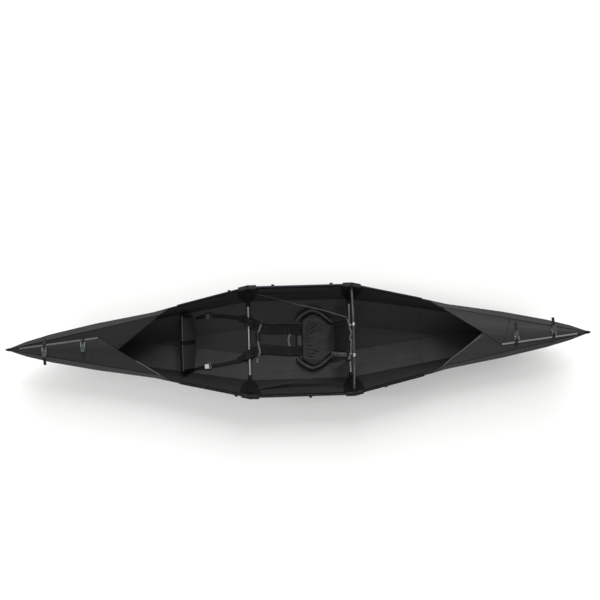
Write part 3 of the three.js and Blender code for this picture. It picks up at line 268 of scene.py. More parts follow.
def pressed_steel(name, colour, worn, scale=450.0):
    """Pressed steel, tumbled or blackened: clean metal with small scratch marks that turn every way, and at
    a coarse scale patches of painted highlight.
    """
    # Scratches of 2 mm at the usual scale
    material = new_material(name)
    place = object_place(material)
    scratch_and_highlight_marks = noise_at(material, place, scale, 5.0, Distortion=1.5)
    return surface(
        material,
        [(scratch_and_highlight_marks, 0.00006)],
        Base_Color=two_colours(material, scratch_and_highlight_marks, colour, worn),
        Metallic=1.0,
        Roughness=value_range(material, scratch_and_highlight_marks, 0.22, 0.42),
    )


def smoky_plastic(name, colour, clear):
    """Moulded polycarbonate lever, smoky grey-green: glossy, with a slight swirl of flow in its colour."""
    # Swirls of 17 mm
    material = new_material(name)
    place = object_place(material)
    swirl = noise_at(material, place, 60.0, 3.0, Distortion=2.0)
    return surface(
        material,
        [(swirl, 0.0001)],
        Base_Color=two_colours(material, swirl, colour, clear),
        Roughness=value_range(material, swirl, 0.2, 0.34),
        IOR=1.58,
    )


def woven(name, colour, light, thread, sheen):
    """Woven synthetic cloth: threads crossing at the given spacing in metres, dull, with a little sheen.

    The weave follows the piece's own map, laid out in metres on webbing and bindings. A filled pad has lost
    its map, and shows only the dust on its cloth.
    """
    # Real threads are under 1.5 mm apart, too fine to show here, so they are drawn wider. Dust lies in
    # patches of 33 mm.
    material = new_material(name)
    place = add_node(material, "ShaderNodeTexCoord").outputs["UV"]
    axes = add_node(material, "ShaderNodeSeparateXYZ", {"Vector": place})
    waves = []
    for axis in ("X", "Y"):
        inputs = {0: axes.outputs[axis], 1: math.pi / thread}
        turn = add_node(material, "ShaderNodeMath", inputs, operation="MULTIPLY")
        waves.append(add_node(material, "ShaderNodeMath", {0: turn.outputs[0]}, operation="SINE").outputs[0])
    weave = add_node(material, "ShaderNodeMath", {0: waves[0], 1: waves[1]}, operation="MULTIPLY").outputs[0]
    lifted = add_node(material, "ShaderNodeMath", {0: weave, 1: 1.0}, operation="ADD").outputs[0]
    dust = noise_at(material, object_place(material), 30.0, 4.0)
    shade = add_node(material, "ShaderNodeMath", {0: dust, 1: lifted}, operation="MULTIPLY").outputs[0]
    return surface(
        material,
        [(weave, thread * 0.12), (dust, 0.0008)],
        Base_Color=two_colours(material, shade, colour, light),
        Roughness=value_range(material, dust, 0.72, 0.92),
        Specular_IOR_Level=0.2,
        Sheen_Weight=sheen,
        Sheen_Roughness=0.45,
    )


def painted_edge_highlight(name, colour, lighter_highlight):
    """The cut edge of the polypropylene sheet, dull, painted light grey as a highlight, in spots."""
    # Spots of 4.5 mm in the painted highlight
    material = new_material(name)
    place = object_place(material)
    spots = noise_at(material, place, 220.0, 3.0)
    return surface(
        material,
        [(spots, 0.0002)],
        Base_Color=two_colours(material, spots, colour, lighter_highlight),
        Roughness=0.6,
    )


MATERIALS = {
    "hull_sheet": fluted_polypropylene("fluted_polypropylene_hull", "#151516", "#2D2D2E"),
    # The stern's flaps are the hull's sheet painted lighter: painted light on the decks
    "deck_sheet_painted_light": fluted_polypropylene("fluted_polypropylene_deck", "#1D1D1E", "#2C2C2D"),
    # The bow's flaps are the hull's sheet painted darker: painted shade, as the light falls from the stern
    # side
    "bow_sheet_painted_shade": fluted_polypropylene("fluted_polypropylene_bow", "#0E0E0F", "#1A1A1B"),
    "bow_under_sheet_painted_shade": fluted_polypropylene("fluted_polypropylene_bow_under", "#131314", "#202021", 0.14),
    # The footrest is the same sheet painted lighter: painted light on its steep faces
    "foot_sheet_painted_light": fluted_polypropylene("fluted_polypropylene_foot", "#29292A", "#3B3B3C"),
    "nylon": moulded_plastic("moulded_nylon", "#050506", "#0E0E10"),
    "extrusion": anodised_aluminium("anodised_extrusion", "#141517", "#232427", EXTRUDED_LINES),
    "tube": anodised_aluminium("anodised_tube", "#8E8E8F", "#A5A5A6", TUBE_LINES),
    # The thwart and the footrest bar: the rib tubes' metal painted darker, painted shade
    "tube_painted_shade": anodised_aluminium("anodised_dull_tube", "#4B4B4C", "#616162", TUBE_LINES),
    "steel": pressed_steel("pressed_steel", "#8E9193", "#C9CCCE"),
    "dark_steel": pressed_steel("blackened_steel", "#1D1E20", "#4A4C4F"),
    "lever": smoky_plastic("smoky_polycarbonate", "#1F2623", "#3B4541"),
    # The port cam lever: dark steel with 11 mm patches of painted highlight
    "worn_steel": pressed_steel("worn_steel", "#242527", "#8E9194", 90.0),
    "ladder": moulded_plastic("moulded_ladder_strap", "#0E0E0F", "#1E1F21"),
    "rail": anodised_aluminium("anodised_rail", "#58585A", "#747475", RAIL_LINES),
    # The stern rail is the bow rail's metal painted brighter: painted light
    "rail_painted_light": anodised_aluminium("anodised_bright_rail", "#858586", "#A3A3A4", RAIL_LINES),
    "webbing": woven("woven_webbing", "#09090A", "#18181A", 0.0022, 0.04),
    "light_webbing": woven("woven_grey_webbing", "#27282A", "#515255", 0.0022, 0.12),
    "dim_webbing": woven("woven_dim_webbing", "#161718", "#2C2D2F", 0.0022, 0.08),
    "pale_webbing": woven("woven_pale_webbing", "#3A3B3E", "#75767A", 0.0022, 0.15),
    "light_nylon": moulded_plastic("moulded_grey_nylon", "#2A2B2D", "#434447"),
    "pale_nylon": moulded_plastic("moulded_pale_nylon", "#3A3B3D", "#5C5D60"),
    "pad_cloth": woven("padded_oxford_nylon", "#171718", "#3F3F41", 0.0026, 0.2),
    "strap_cloth": woven("shoulder_strap_nylon", "#09090A", "#19191B", 0.0024, 0.04),
    "rim_cloth": woven("seat_rim_nylon", "#1F1F20", "#464647", 0.0026, 0.15),
    "black_webbing": woven("woven_black_webbing", "#030304", "#0B0B0C", 0.0022, 0.0),
    "back_cloth": woven("backrest_nylon", "#060607", "#111112", 0.0026, 0.02),
    "thread": woven("bonded_thread", "#3A3B3E", "#55565A", 0.001, 0.2),
    # Light grey: a painted highlight along the port cut edges
    "edge": painted_edge_highlight("cut_sheet_edge", "#3A3B3E", "#5C5D60"),
    # Darker than the sheet: painted shade along the folds and creases, and on the starboard cut edges
    "fold": moulded_plastic("scored_polypropylene", "#0C0C0D", "#18181A"),
}


# Modelling

# Points nearer than this are one point
MERGE = 0.00001
FOLD_HEIGHT = 0.0012
# Shares of the width and of the height that a rounded end keeps at its tip
ROUNDED_END = (0.3, 0.25)
RING_RADIUS = 0.0095
RING_WIRE = 0.0019
# Size of the cubes that a pad is rebuilt of before it is filled
PAD_CUBE = 0.0045


def start_clean():
    """Leaves edit mode, with nothing selected."""
    if bpy.context.object and bpy.context.object.mode != "OBJECT":
        bpy.ops.object.mode_set(mode="OBJECT")
    bpy.ops.object.select_all(action="DESELECT")


def make_active(piece):
    start_clean()
    piece.select_set(True)
    bpy.context.view_layer.objects.active = piece
    return piece


def surface_grid(name, columns, rows, place, measure):
    """A grid laid on its surface, with its own map.

    place takes -1 to 1 across and along and gives a point. measure takes shares of 0 to 1 and gives the map.
    """
    start_clean()
    bpy.ops.mesh.primitive_grid_add(x_subdivisions=columns, y_subdivisions=rows, size=2, calc_uvs=True)
    piece = bpy.context.object
    piece.name = name
    for vertex in piece.data.vertices:
        vertex.co = place(vertex.co.x, vertex.co.y)
    for corner in piece.data.uv_layers.active.data:
        corner.uv = measure(corner.uv[0], corner.uv[1])
    return piece


def apply_modifier(piece, kind, **settings):
    make_active(piece)
    modifier = piece.modifiers.new(kind.title(), kind)
    for key, value in settings.items():
        setattr(modifier, key, value)
    bpy.ops.object.modifier_apply(modifier=modifier.name)
    return piece


def subdivide(piece, levels):
    return apply_modifier(piece, "SUBSURF", levels=levels, render_levels=levels)


def outward(piece):
    """Points every face out, once its doubles are merged."""
    make_active(piece)
    bpy.ops.object.mode_set(mode="EDIT")
    bpy.ops.mesh.select_all(action="SELECT")
    bpy.ops.mesh.remove_doubles(threshold=MERGE)
    bpy.ops.mesh.normals_make_consistent(inside=False)
    bpy.ops.object.mode_set(mode="OBJECT")
    return piece


def edit_faces(piece, chosen):
    """Opens a piece in edit mode with only the chosen faces selected."""
    make_active(piece)
    bpy.ops.object.mode_set(mode="EDIT")
    bpy.ops.mesh.select_mode(type="FACE")
    bpy.ops.mesh.select_all(action="DESELECT")
    bpy.ops.object.mode_set(mode="OBJECT")
    for polygon in piece.data.polygons:
        polygon.select = chosen(polygon)
    bpy.ops.object.mode_set(mode="EDIT")


def draw_out(way, shrink):
    """Extrudes the selected faces and shrinks them about their middle."""
    bpy.ops.mesh.extrude_region_move(TRANSFORM_OT_translate={"value": way})
    bpy.ops.transform.resize(value=shrink)


def end_edit():
    bpy.ops.mesh.select_mode(type="VERT")
    bpy.ops.object.mode_set(mode="OBJECT")


def finish(piece, body, material, replaced=(), smooth_angle=40):
    """Says what the piece is made of, what it rides on and which of the frame's nodes it stands for."""
    make_active(piece)
    bpy.ops.object.transform_apply(location=True, rotation=True, scale=True)
    bpy.ops.object.shade_smooth_by_angle(angle=math.radians(smooth_angle))
    piece.data.materials.clear()
    piece.data.materials.append(MATERIALS[material])
    if body:
        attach(piece, body)
    if replaced:
        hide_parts(*replaced)
    return piece


def join(pieces, name):
    start_clean()
    for piece in pieces:
        piece.select_set(True)
    bpy.context.view_layer.objects.active = pieces[0]
    if len(pieces) > 1:
        bpy.ops.object.join()
    pieces[0].name = name
    return pieces[0]


def copy_piece(piece, name, matrix):
    """A copy with its own mesh, moved in its mesh."""
    copied = piece.copy()
    copied.data = piece.data.copy()
    copied.name = name
    bpy.context.scene.collection.objects.link(copied)
    copied.data.transform(matrix)
    return copied


class Route:
    """A smooth line through points, read by its share of the length."""

    # Each stretch is a cubic curve whose slope at a point follows the points on either side of it
    def __init__(self, points, steps=12):
        points = [Vector(p) for p in points]
        ends = [points[0] * 2 - points[1], *points, points[-1] * 2 - points[-2]]
        fine = []
        for i in range(1, len(ends) - 2):
            before, start, end, after = ends[i - 1 : i + 3]
            for k in range(steps):
                t = k / steps
                slope = (end - before) * t
                bow = (2 * before - 5 * start + 4 * end - after) * t * t
                twist = (3 * start - before - 3 * end + after) * t**3
                fine.append(0.5 * (2 * start + slope + bow + twist))
        fine.append(points[-1])
        self.points = fine
        self.lengths = [0.0]
        for a, b in zip(fine, fine[1:]):
            self.lengths.append(self.lengths[-1] + (b - a).length)
        self.length = self.lengths[-1]

    def at(self, share):
        reach = min(max(share, 0.0), 1.0) * self.length
        i = 0
        while i < len(self.lengths) - 2 and reach > self.lengths[i + 1]:
            i += 1
        span = self.lengths[i + 1] - self.lengths[i]
        t = (reach - self.lengths[i]) / span if span else 0.0
        back = self.points[max(0, i - 1)]
        ahead = self.points[min(len(self.points) - 1, i + 2)]
        return self.points[i].lerp(self.points[i + 1], t), (ahead - back).normalized()


def rounded_outline(width, height, radius, splits):
    """The points of a rounded rectangle, clockwise from the right end of its top and back to there."""
    radius = min(radius, width / 2, height / 2)
    side, up = width / 2 - radius, height / 2 - radius
    # Four points to each corner, then the points between corners along the top and the underside
    points = []
    for corner, (x, y) in enumerate(((side, up), (side, -up), (-side, -up), (-side, up))):
        for step in range(4):
            turn = math.radians(90 - 90 * corner - 30 * step)
            points.append((x + radius * math.cos(turn), y + radius * math.sin(turn)))
    top = [(mix(points[-1][0], points[0][0], k / splits), height / 2) for k in range(1, splits)]
    under = [(mix(points[7][0], points[8][0], k / splits), -height / 2) for k in range(1, splits)]
    ring = [*points[:8], *under, *points[8:], *top]
    return [*ring, ring[0]]


def loft(name, route, size, spacing=0.006, rounded=0.0, up=UP, lift=None, radius=None, splits=2):
    """A closed band along a route, from a grid rolled round it.

    size is its width and height, or gives them at a share of the length, and so does up, the way its upper
    face looks. The ends are rounded off over the length called rounded. With lift, which gives metres at
    (x, share), the band follows the floor under each of its points.
    """
    rows = max(3, int(route.length / spacing))
    size_at = size if callable(size) else lambda share: size
    up_at = up if callable(up) else lambda share: Vector(up)

    def ring_at(share):
        width, height = size_at(share)
        edge = min(share, 1 - share) * route.length
        if edge < rounded:
            tuck = math.sqrt(max(0.0, 1 - (1 - edge / rounded) ** 2))
            width *= mix(ROUNDED_END[0], 1, tuck)
            height *= mix(ROUNDED_END[1], 1, tuck)
        return rounded_outline(width, height, radius or height / 2, splits), size_at(share)[1]

    middle = ring_at(0.5)[0]
    count = len(middle) - 1
    reaches = [0.0]
    for a, b in zip(middle, middle[1:]):
        reaches.append(reaches[-1] + math.dist(a, b))

    def place(across, along):
        share = (along + 1) / 2
        point, way = route.at(share)
        side = way.cross(up_at(share)).normalized()
        ring, height = ring_at(share)
        out, high = ring[round((across + 1) / 2 * count)]
        if lift is None:
            return point + side * out + side.cross(way).normalized() * high
        spot = point + side * out
        base = floor_height(spot.x, spot.y) + lift(spot.x, share)
        return Vector((spot.x, spot.y, base + high + height / 2))

    def measure(across, along):
        return reaches[round(across * count)], along * route.length

    piece = surface_grid(name, count, rows, place, measure)
    make_active(piece)
    bpy.ops.object.mode_set(mode="EDIT")
    bpy.ops.mesh.select_all(action="SELECT")
    bpy.ops.mesh.remove_doubles(threshold=MERGE)
    bpy.ops.mesh.fill_holes(sides=0)
    bpy.ops.object.mode_set(mode="OBJECT")
    return outward(piece)


def stitches(name, points, length=0.005, gap=0.0035, radius=0.0008):
    """A row of stitches along a line of (point, up) pairs: one short thread, modelled once and copied."""
    start_clean()
    lengthwise = (0, math.pi / 2, 0)
    bpy.ops.mesh.primitive_cylinder_add(vertices=6, radius=radius, depth=length, rotation=lengthwise)
    first = bpy.context.object
    first.name = name
    bpy.ops.object.transform_apply(location=True, rotation=True, scale=True)
    places = []
    reach = 0.0
    for (start, _), (end, up) in zip(points, points[1:]):
        span = (end - start).length
        if span < 1e-6:
            continue
        way = (end - start) / span
        side = up.cross(way).normalized()
        turn = Matrix((way, side, way.cross(side))).transposed().to_4x4()
        while reach < span:
            places.append(Matrix.Translation(start + way * reach) @ turn)
            reach += length + gap
        reach -= span
    copies = [copy_piece(first, f"{name}_{i}", matrix) for i, matrix in enumerate(places[1:])]
    first.data.transform(places[0])
    return join([first, *copies], name)


def puff(piece, pressure, cap, cube=PAD_CUBE, frames=20):
    """Fills a pad by a cloth simulation, then keeps every point within a cap of where it was."""
    apply_modifier(piece, "REMESH", mode="VOXEL", voxel_size=cube, use_smooth_shade=True)
    rest = [vertex.co.copy() for vertex in piece.data.vertices]
    make_active(piece)
    modifier = piece.modifiers.new("Cloth", "CLOTH")
    cloth = modifier.settings
    cloth.use_pressure = True
    cloth.uniform_pressure_force = pressure
    cloth.effector_weights.gravity = 0
    cloth.quality = 5
    scene = bpy.context.scene
    scene.frame_start = 1
    scene.frame_end = frames
    for number in range(1, frames + 1):
        scene.frame_set(number)
    bpy.ops.object.modifier_apply(modifier=modifier.name)
    scene.frame_set(1)
    for vertex, before in zip(piece.data.vertices, rest):
        moved = vertex.co - before
        if moved.length > cap:
            vertex.co = before + moved * (cap / moved.length)
    return subdivide(piece, 1)


def slab(name, columns, rows, under, over):
    """A closed pad: a grid on its underside, extruded and laid on its upper side."""
    flat = []

    def place(across, along):
        flat.append((across, along))
        return under(across, along)

    piece = surface_grid(name, columns, rows, place, lambda a, b: (a, b))
    lower = [vertex.co.copy() for vertex in piece.data.vertices]
    make_active(piece)
    bpy.ops.object.mode_set(mode="EDIT")
    bpy.ops.mesh.select_all(action="SELECT")
    bpy.ops.mesh.extrude_region_move(TRANSFORM_OT_translate={"value": (0, 0, 1)})
    bpy.ops.object.mode_set(mode="OBJECT")
    # The upper side stands a metre up, clear of the lower one, until each of its points is laid in its place
    for vertex in piece.data.vertices:
        if vertex.co.z > 0.9:
            under_it = Vector((vertex.co.x, vertex.co.y, vertex.co.z - 1))
            nearest = min(range(len(lower)), key=lambda i: (lower[i] - under_it).length_squared)
            vertex.co = over(*flat[nearest])
    return outward(piece)


class Surfaces:
    """Heights of the frame's nodes, found by looking straight down at them."""

    def __init__(self, *names):
        self.trees = []
        for name in names:
            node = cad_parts[name]
            points = [node.matrix_world @ vertex.co for vertex in node.data.vertices]
            self.trees.append(BVHTree.FromPolygons(points, [tuple(p.vertices) for p in node.data.polygons]))

    def height(self, x, y, start):
        """The highest surface at a place under the starting height, or None."""
        hits = [tree.ray_cast(Vector((x, y, start)), -UP)[0] for tree in self.trees]
        return max((hit.z for hit in hits if hit is not None), default=None)


def window_plate(name, columns, rows, thickness, bevel, is_window):
    """A plate with windows: a grid with its lines at the given places, thickened and bevelled."""
    start_clean()
    across, along = len(columns) - 1, len(rows) - 1
    bpy.ops.mesh.primitive_grid_add(x_subdivisions=across, y_subdivisions=along, size=1)
    plate = bpy.context.object
    plate.name = name
    for vertex in plate.data.vertices:
        column, row = round((vertex.co.x + 0.5) * across), round((vertex.co.y + 0.5) * along)
        vertex.co = Vector((columns[column], rows[row], 0))

    def in_window(face):
        column = sum(line < face.center.x for line in columns) - 1
        row = sum(line < face.center.y for line in rows) - 1
        return is_window(column, row)

    edit_faces(plate, in_window)
    bpy.ops.mesh.delete(type="FACE")
    end_edit()
    apply_modifier(plate, "SOLIDIFY", thickness=thickness, offset=0.0)
    return apply_modifier(plate, "BEVEL", width=bevel, segments=2, limit_method="ANGLE")


def round_ring(name, segments, radius, wire, rotation=(0, 0, 0)):
    """A closed ring of round wire, with its turn in its mesh."""
    start_clean()
    bpy.ops.mesh.primitive_torus_add(
        major_segments=segments, minor_segments=8, major_radius=radius, minor_radius=wire, rotation=rotation
    )
    ring = bpy.context.object
    ring.name = name
    bpy.ops.object.transform_apply(location=True, rotation=True, scale=True)
    return ring


def wire_ring(name, centre, stretch):
    """A small moulded ring lying flat, stretched along the axes."""
    ring = round_ring(name, 24, RING_RADIUS, RING_WIRE)
    ring.data.transform(Matrix.Translation(centre) @ Matrix.Diagonal((*stretch, 1)))
    return ring


def score_line(name, sheet, start, end, width, start_height, step=0.03):
    """A scored fold: a low bead laid along a straight line on the sheet."""
    start, end = Vector(start), Vector(end)
    count = max(2, int((end - start).length / step))
    points = []
    for i in range(count + 1):
        spot = start.lerp(end, i / count)
        height = sheet.height(spot.x, spot.y, start_height)
        if height is not None:
            points.append(Vector((spot.x, spot.y, height)))
    if len(points) < 2:
        raise RuntimeError(f"{name}: no sheet under this fold line")
    return loft(name, Route(points, 1), (width, FOLD_HEIGHT), step, splits=1)


# Sizes and settings


def metres(name, description, default):
    return bpy.props.FloatProperty(name=name, description=description, default=default, unit="LENGTH")


def watts(name, description, default):
    return bpy.props.FloatProperty(name=name, description=description, default=default, unit="POWER")


class KAYAK_PG_sizes(bpy.types.PropertyGroup):
    """Sizes of the soft goods and the small fittings."""

    pad_pleat_depth: metres("Crease depth", "Depth of the pad's creases, per step of their table", 0.0019)
    pad_puff: metres("Pad puff", "How far a padded face may swell", 0.006)
    rim_width: metres("Rim width", "Width of the padded seat rims", 0.0265)
    rim_height: metres("Rim height", "Height of the padded seat rims", 0.029)
    piping_radius: metres("Piping radius", "Radius of the sewn piping", 0.003)
    shoulder_width: metres("Shoulder strap width", "Width of the padded shoulder straps", 0.055)
    webbing_width: metres("Webbing width", "Width of the webbing", 0.025)
    fold_width: metres("Fold width", "Width of a scored fold in the sheet", 0.0034)
    trim_radius: metres("Edge radius", "Radius of the cut edge of the sheet, painted as highlight and shade", 0.0022)


class KAYAK_PG_studio(bpy.types.PropertyGroup):
    """Camera and light of the studio."""

    camera_height: metres("Camera height", "Height of the camera above the deck", 7.0)
    frame_width: metres("Frame width", "Width seen at the height of the deck", 3.784)
    key_power: watts("Key power", "Power of the large soft light from starboard", 1210.0)
    fill_power: watts("Fill power", "Power of the weaker light from the port side", 310.0)
    rim_power: watts("Rim power", "Power of the narrow light from the bow, for the tubes", 100.0)
    floor_colour: bpy.props.FloatVectorProperty(
        name="Floor colour", description="Colour of the studio floor", subtype="COLOR", size=4, min=0, max=1,
        default=tuple(linear("#F2F2F1")),
    )


def sizes():
    return bpy.context.scene.kayak_sizes


def piping_size():
    radius = sizes().piping_radius
    return 2 * radius, 2 * radius


# Studio

CAMERA_TARGET = Vector((-0.001, 0.2577, 0.32))
# The camera stands this far toward the bow of its target
CAMERA_SHIFT = 0.307
# The picture's right is the way to the stern, turned a little to port
CAMERA_RIGHT = Vector((0.99958, -0.0288, 0))
FLOOR_SIZE = 24
FLOOR_DROP = 0.0005
SKY_COLOUR = (0.95, 0.95, 0.95, 1)
SKY_STRENGTH = 0.66
# Each soft light: its name, place, aim, width and depth, and the setting that holds its power
LIGHTS = [
    ("key_light", (0.8, 8.6, 6.2), (0, 0.2, 0.1), (10.0, 5.0), "key_power"),
    ("fill_light", (-1.5, -8.5, 3.6), (0, 0, 0.2), (9.0, 4.0), "fill_power"),
    ("rim_light", (-6.5, 0.6, 6.0), (0, 0, 0.2), (3.0, 1.0), "rim_power"),
]


class KAYAK_OT_studio(bpy.types.Operator):
    """Sets the camera, the pale floor and the soft lights."""

    bl_idname = "kayak.studio"
    bl_label = "Studio"

    def execute(self, context):
        studio = context.scene.kayak_studio
        context.scene.view_settings.view_transform = "Standard"
        self.camera(studio)
        self.floor(studio)
        for name, position, aim, size, setting in LIGHTS:
            self.soft_light(name, position, aim, size, getattr(studio, setting))
        world = bpy.data.worlds.new("studio_world")
        world.use_nodes = True
        background = world.node_tree.nodes["Background"]
        background.inputs["Color"].default_value = SKY_COLOUR
        background.inputs["Strength"].default_value = SKY_STRENGTH
        context.scene.world = world
        return {"FINISHED"}

    def camera(self, studio):
        position = CAMERA_TARGET + Vector((-CAMERA_SHIFT, 0.0, studio.camera_height))
        back = (position - CAMERA_TARGET).normalized()
        right = (CAMERA_RIGHT - back * CAMERA_RIGHT.dot(back)).normalized()
        turn = Matrix((right, back.cross(right), back)).transposed().to_4x4()
        start_clean()
        bpy.ops.object.camera_add(location=position)
        camera = bpy.context.object
        camera.name = "camera"
        camera.matrix_world = Matrix.Translation(position) @ turn
        camera.data.angle = 2 * math.atan(studio.frame_width / 2 / (position - CAMERA_TARGET).length)
        bpy.context.scene.camera = camera

    def floor(self, studio):
        start_clean()
        bpy.ops.mesh.primitive_plane_add(size=FLOOR_SIZE, location=(0, 0, -FLOOR_DROP))
        floor = bpy.context.object
        floor.name = "studio_floor"
        material = new_material("painted_studio_floor")
        grain = noise_at(material, object_place(material), 3.0, 3.0)
        dull = value_range(material, grain, 0.7, 0.85)
        surface(material, Base_Color=tuple(studio.floor_colour), Roughness=dull)
        floor.data.materials.append(material)

    def soft_light(self, name, position, aim, size, energy):
        start_clean()
        bpy.ops.object.light_add(type="AREA", location=position)
        lamp = bpy.context.object
        lamp.name = name
        lamp.data.shape = "RECTANGLE"
        lamp.data.size, lamp.data.size_y = size
        lamp.data.energy = energy
        way = Vector(aim) - Vector(position)
        lamp.rotation_euler = way.to_track_quat("-Z", "X").to_euler()


# Finishes of the frame's own nodes

NODE_FINISHES = {
    "hull_skin": "hull_sheet",
    "footrest": "foot_sheet_painted_light",
    "footrest_bar": "tube_painted_shade",
    "thwart": "tube_painted_shade",
    "bow_top_flap": "bow_sheet_painted_shade",
    "bow_under_flap": "bow_under_sheet_painted_shade",
    "stern_top_flap": "deck_sheet_painted_light",
    "stern_under_flap": "deck_sheet_painted_light",
    "bow_rail": "rail",
    "stern_rail": "rail_painted_light",
    # The two cam levers are alike: the port one carries painted highlights, the starboard one is painted
    # dark as shade
    "cam_lever_port": "worn_steel",
    "cam_lever_starboard": "dark_steel",
}
for end in ENDS:
    NODE_FINISHES[f"{end}_tip_cap"] = "nylon"
    NODE_FINISHES[f"rib_tube_{end}"] = "tube"
    for latch in ("inner", "outer"):
        NODE_FINISHES[f"{end}_{latch}_strap"] = "ladder"
        NODE_FINISHES[f"{end}_{latch}_ratchet"] = "steel"
        NODE_FINISHES[f"{end}_{latch}_lever"] = "lever"
for side in SIDES:
    NODE_FINISHES[f"hook_{side}"] = "steel"
    NODE_FINISHES[f"cam_buckle_{side}"] = "dark_steel"
    NODE_FINISHES[f"gunwale_{side}_mid"] = "extrusion"
    for end in ENDS:
        NODE_FINISHES[f"gunwale_{side}_{end}"] = "extrusion"
        NODE_FINISHES[f"knuckle_{side}_{end}"] = "nylon"
        NODE_FINISHES[f"rib_arm_{side}_{end}"] = "nylon"


class KAYAK_OT_node_finishes(bpy.types.Operator):
    """Gives each carried-over node its material."""

    bl_idname = "kayak.node_finishes"
    bl_label = "Sheet, metal and moulded finishes"

    def execute(self, context):
        for name, finish_name in NODE_FINISHES.items():
            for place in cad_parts[name].material_slots:
                place.material = MATERIALS[finish_name]
        return {"FINISHED"}


# Seat pad

# How far above the floor's face a laid piece starts
LAID = 0.0012
PAD_START = 0.018
PAD_LENGTH = 0.196
PAD_HALF = 0.1635
PAD_MIDDLE = -0.004
PAD_SHARES = [(0, 0.78), (0.12, 0.92), (0.28, 1.02), (0.45, 1.04), (0.63, 0.97), (0.8, 0.8), (1, 0.58)]
# Thickness of the pad at its edge, what the middle has more, and the piping's height above the floor
PAD_EDGE = 0.0105
PAD_DOME = 0.0135
PIPING_HEIGHT = 0.0085
# Creases of the gathered cloth, each from one place to another on the pad in millimetres, with its depth
PAD_CREASES = [
    (30, 65, 111, 130, 5.5), (31, 46, 132, 114, 6.0), (34, 23, 165, 102, 5.0), (28, 8, 82, 42, 3.6),
    (26, -9, 66, 4, 3.0), (25, -25, 62, -30, 2.6), (25, -42, 74, -59, 3.4), (28, -64, 140, -97, 3.4),
    (27, -80, 72, -84, 2.4), (30, -99, 100, -104, 4.0), (30, -116, 88, -127, 3.0), (28, 86, 74, 122, 3.6),
]
CREASE_HALF = 0.0048
# The cloth stands up beside a crease: how far out, how wide, and by what share of the depth
CREASE_LIP = (0.0098, 0.0052, 0.65)
HEM_SEAM_X = PAD_START + 0.017
HEM_STITCHES_Y = (-0.118, -0.06, 0.0, 0.055, 0.112)


def pad_half(share):
    """Half the width of the seat pad at a share of its length."""
    share = min(max(share, 0), 1)
    for (a, first), (b, second) in zip(PAD_SHARES, PAD_SHARES[1:]):
        if share <= b:
            return PAD_HALF * mix(first, second, (share - a) / (b - a))
    return PAD_HALF * PAD_SHARES[-1][1]


def pad_edge_reach(x, y):
    """How far inside the pad's outline a place is, with the slope of its sides allowed for."""
    reach = x - PAD_START
    return min(reach, PAD_LENGTH - reach, (pad_half(reach / PAD_LENGTH) - abs(y - PAD_MIDDLE)) * 0.86)


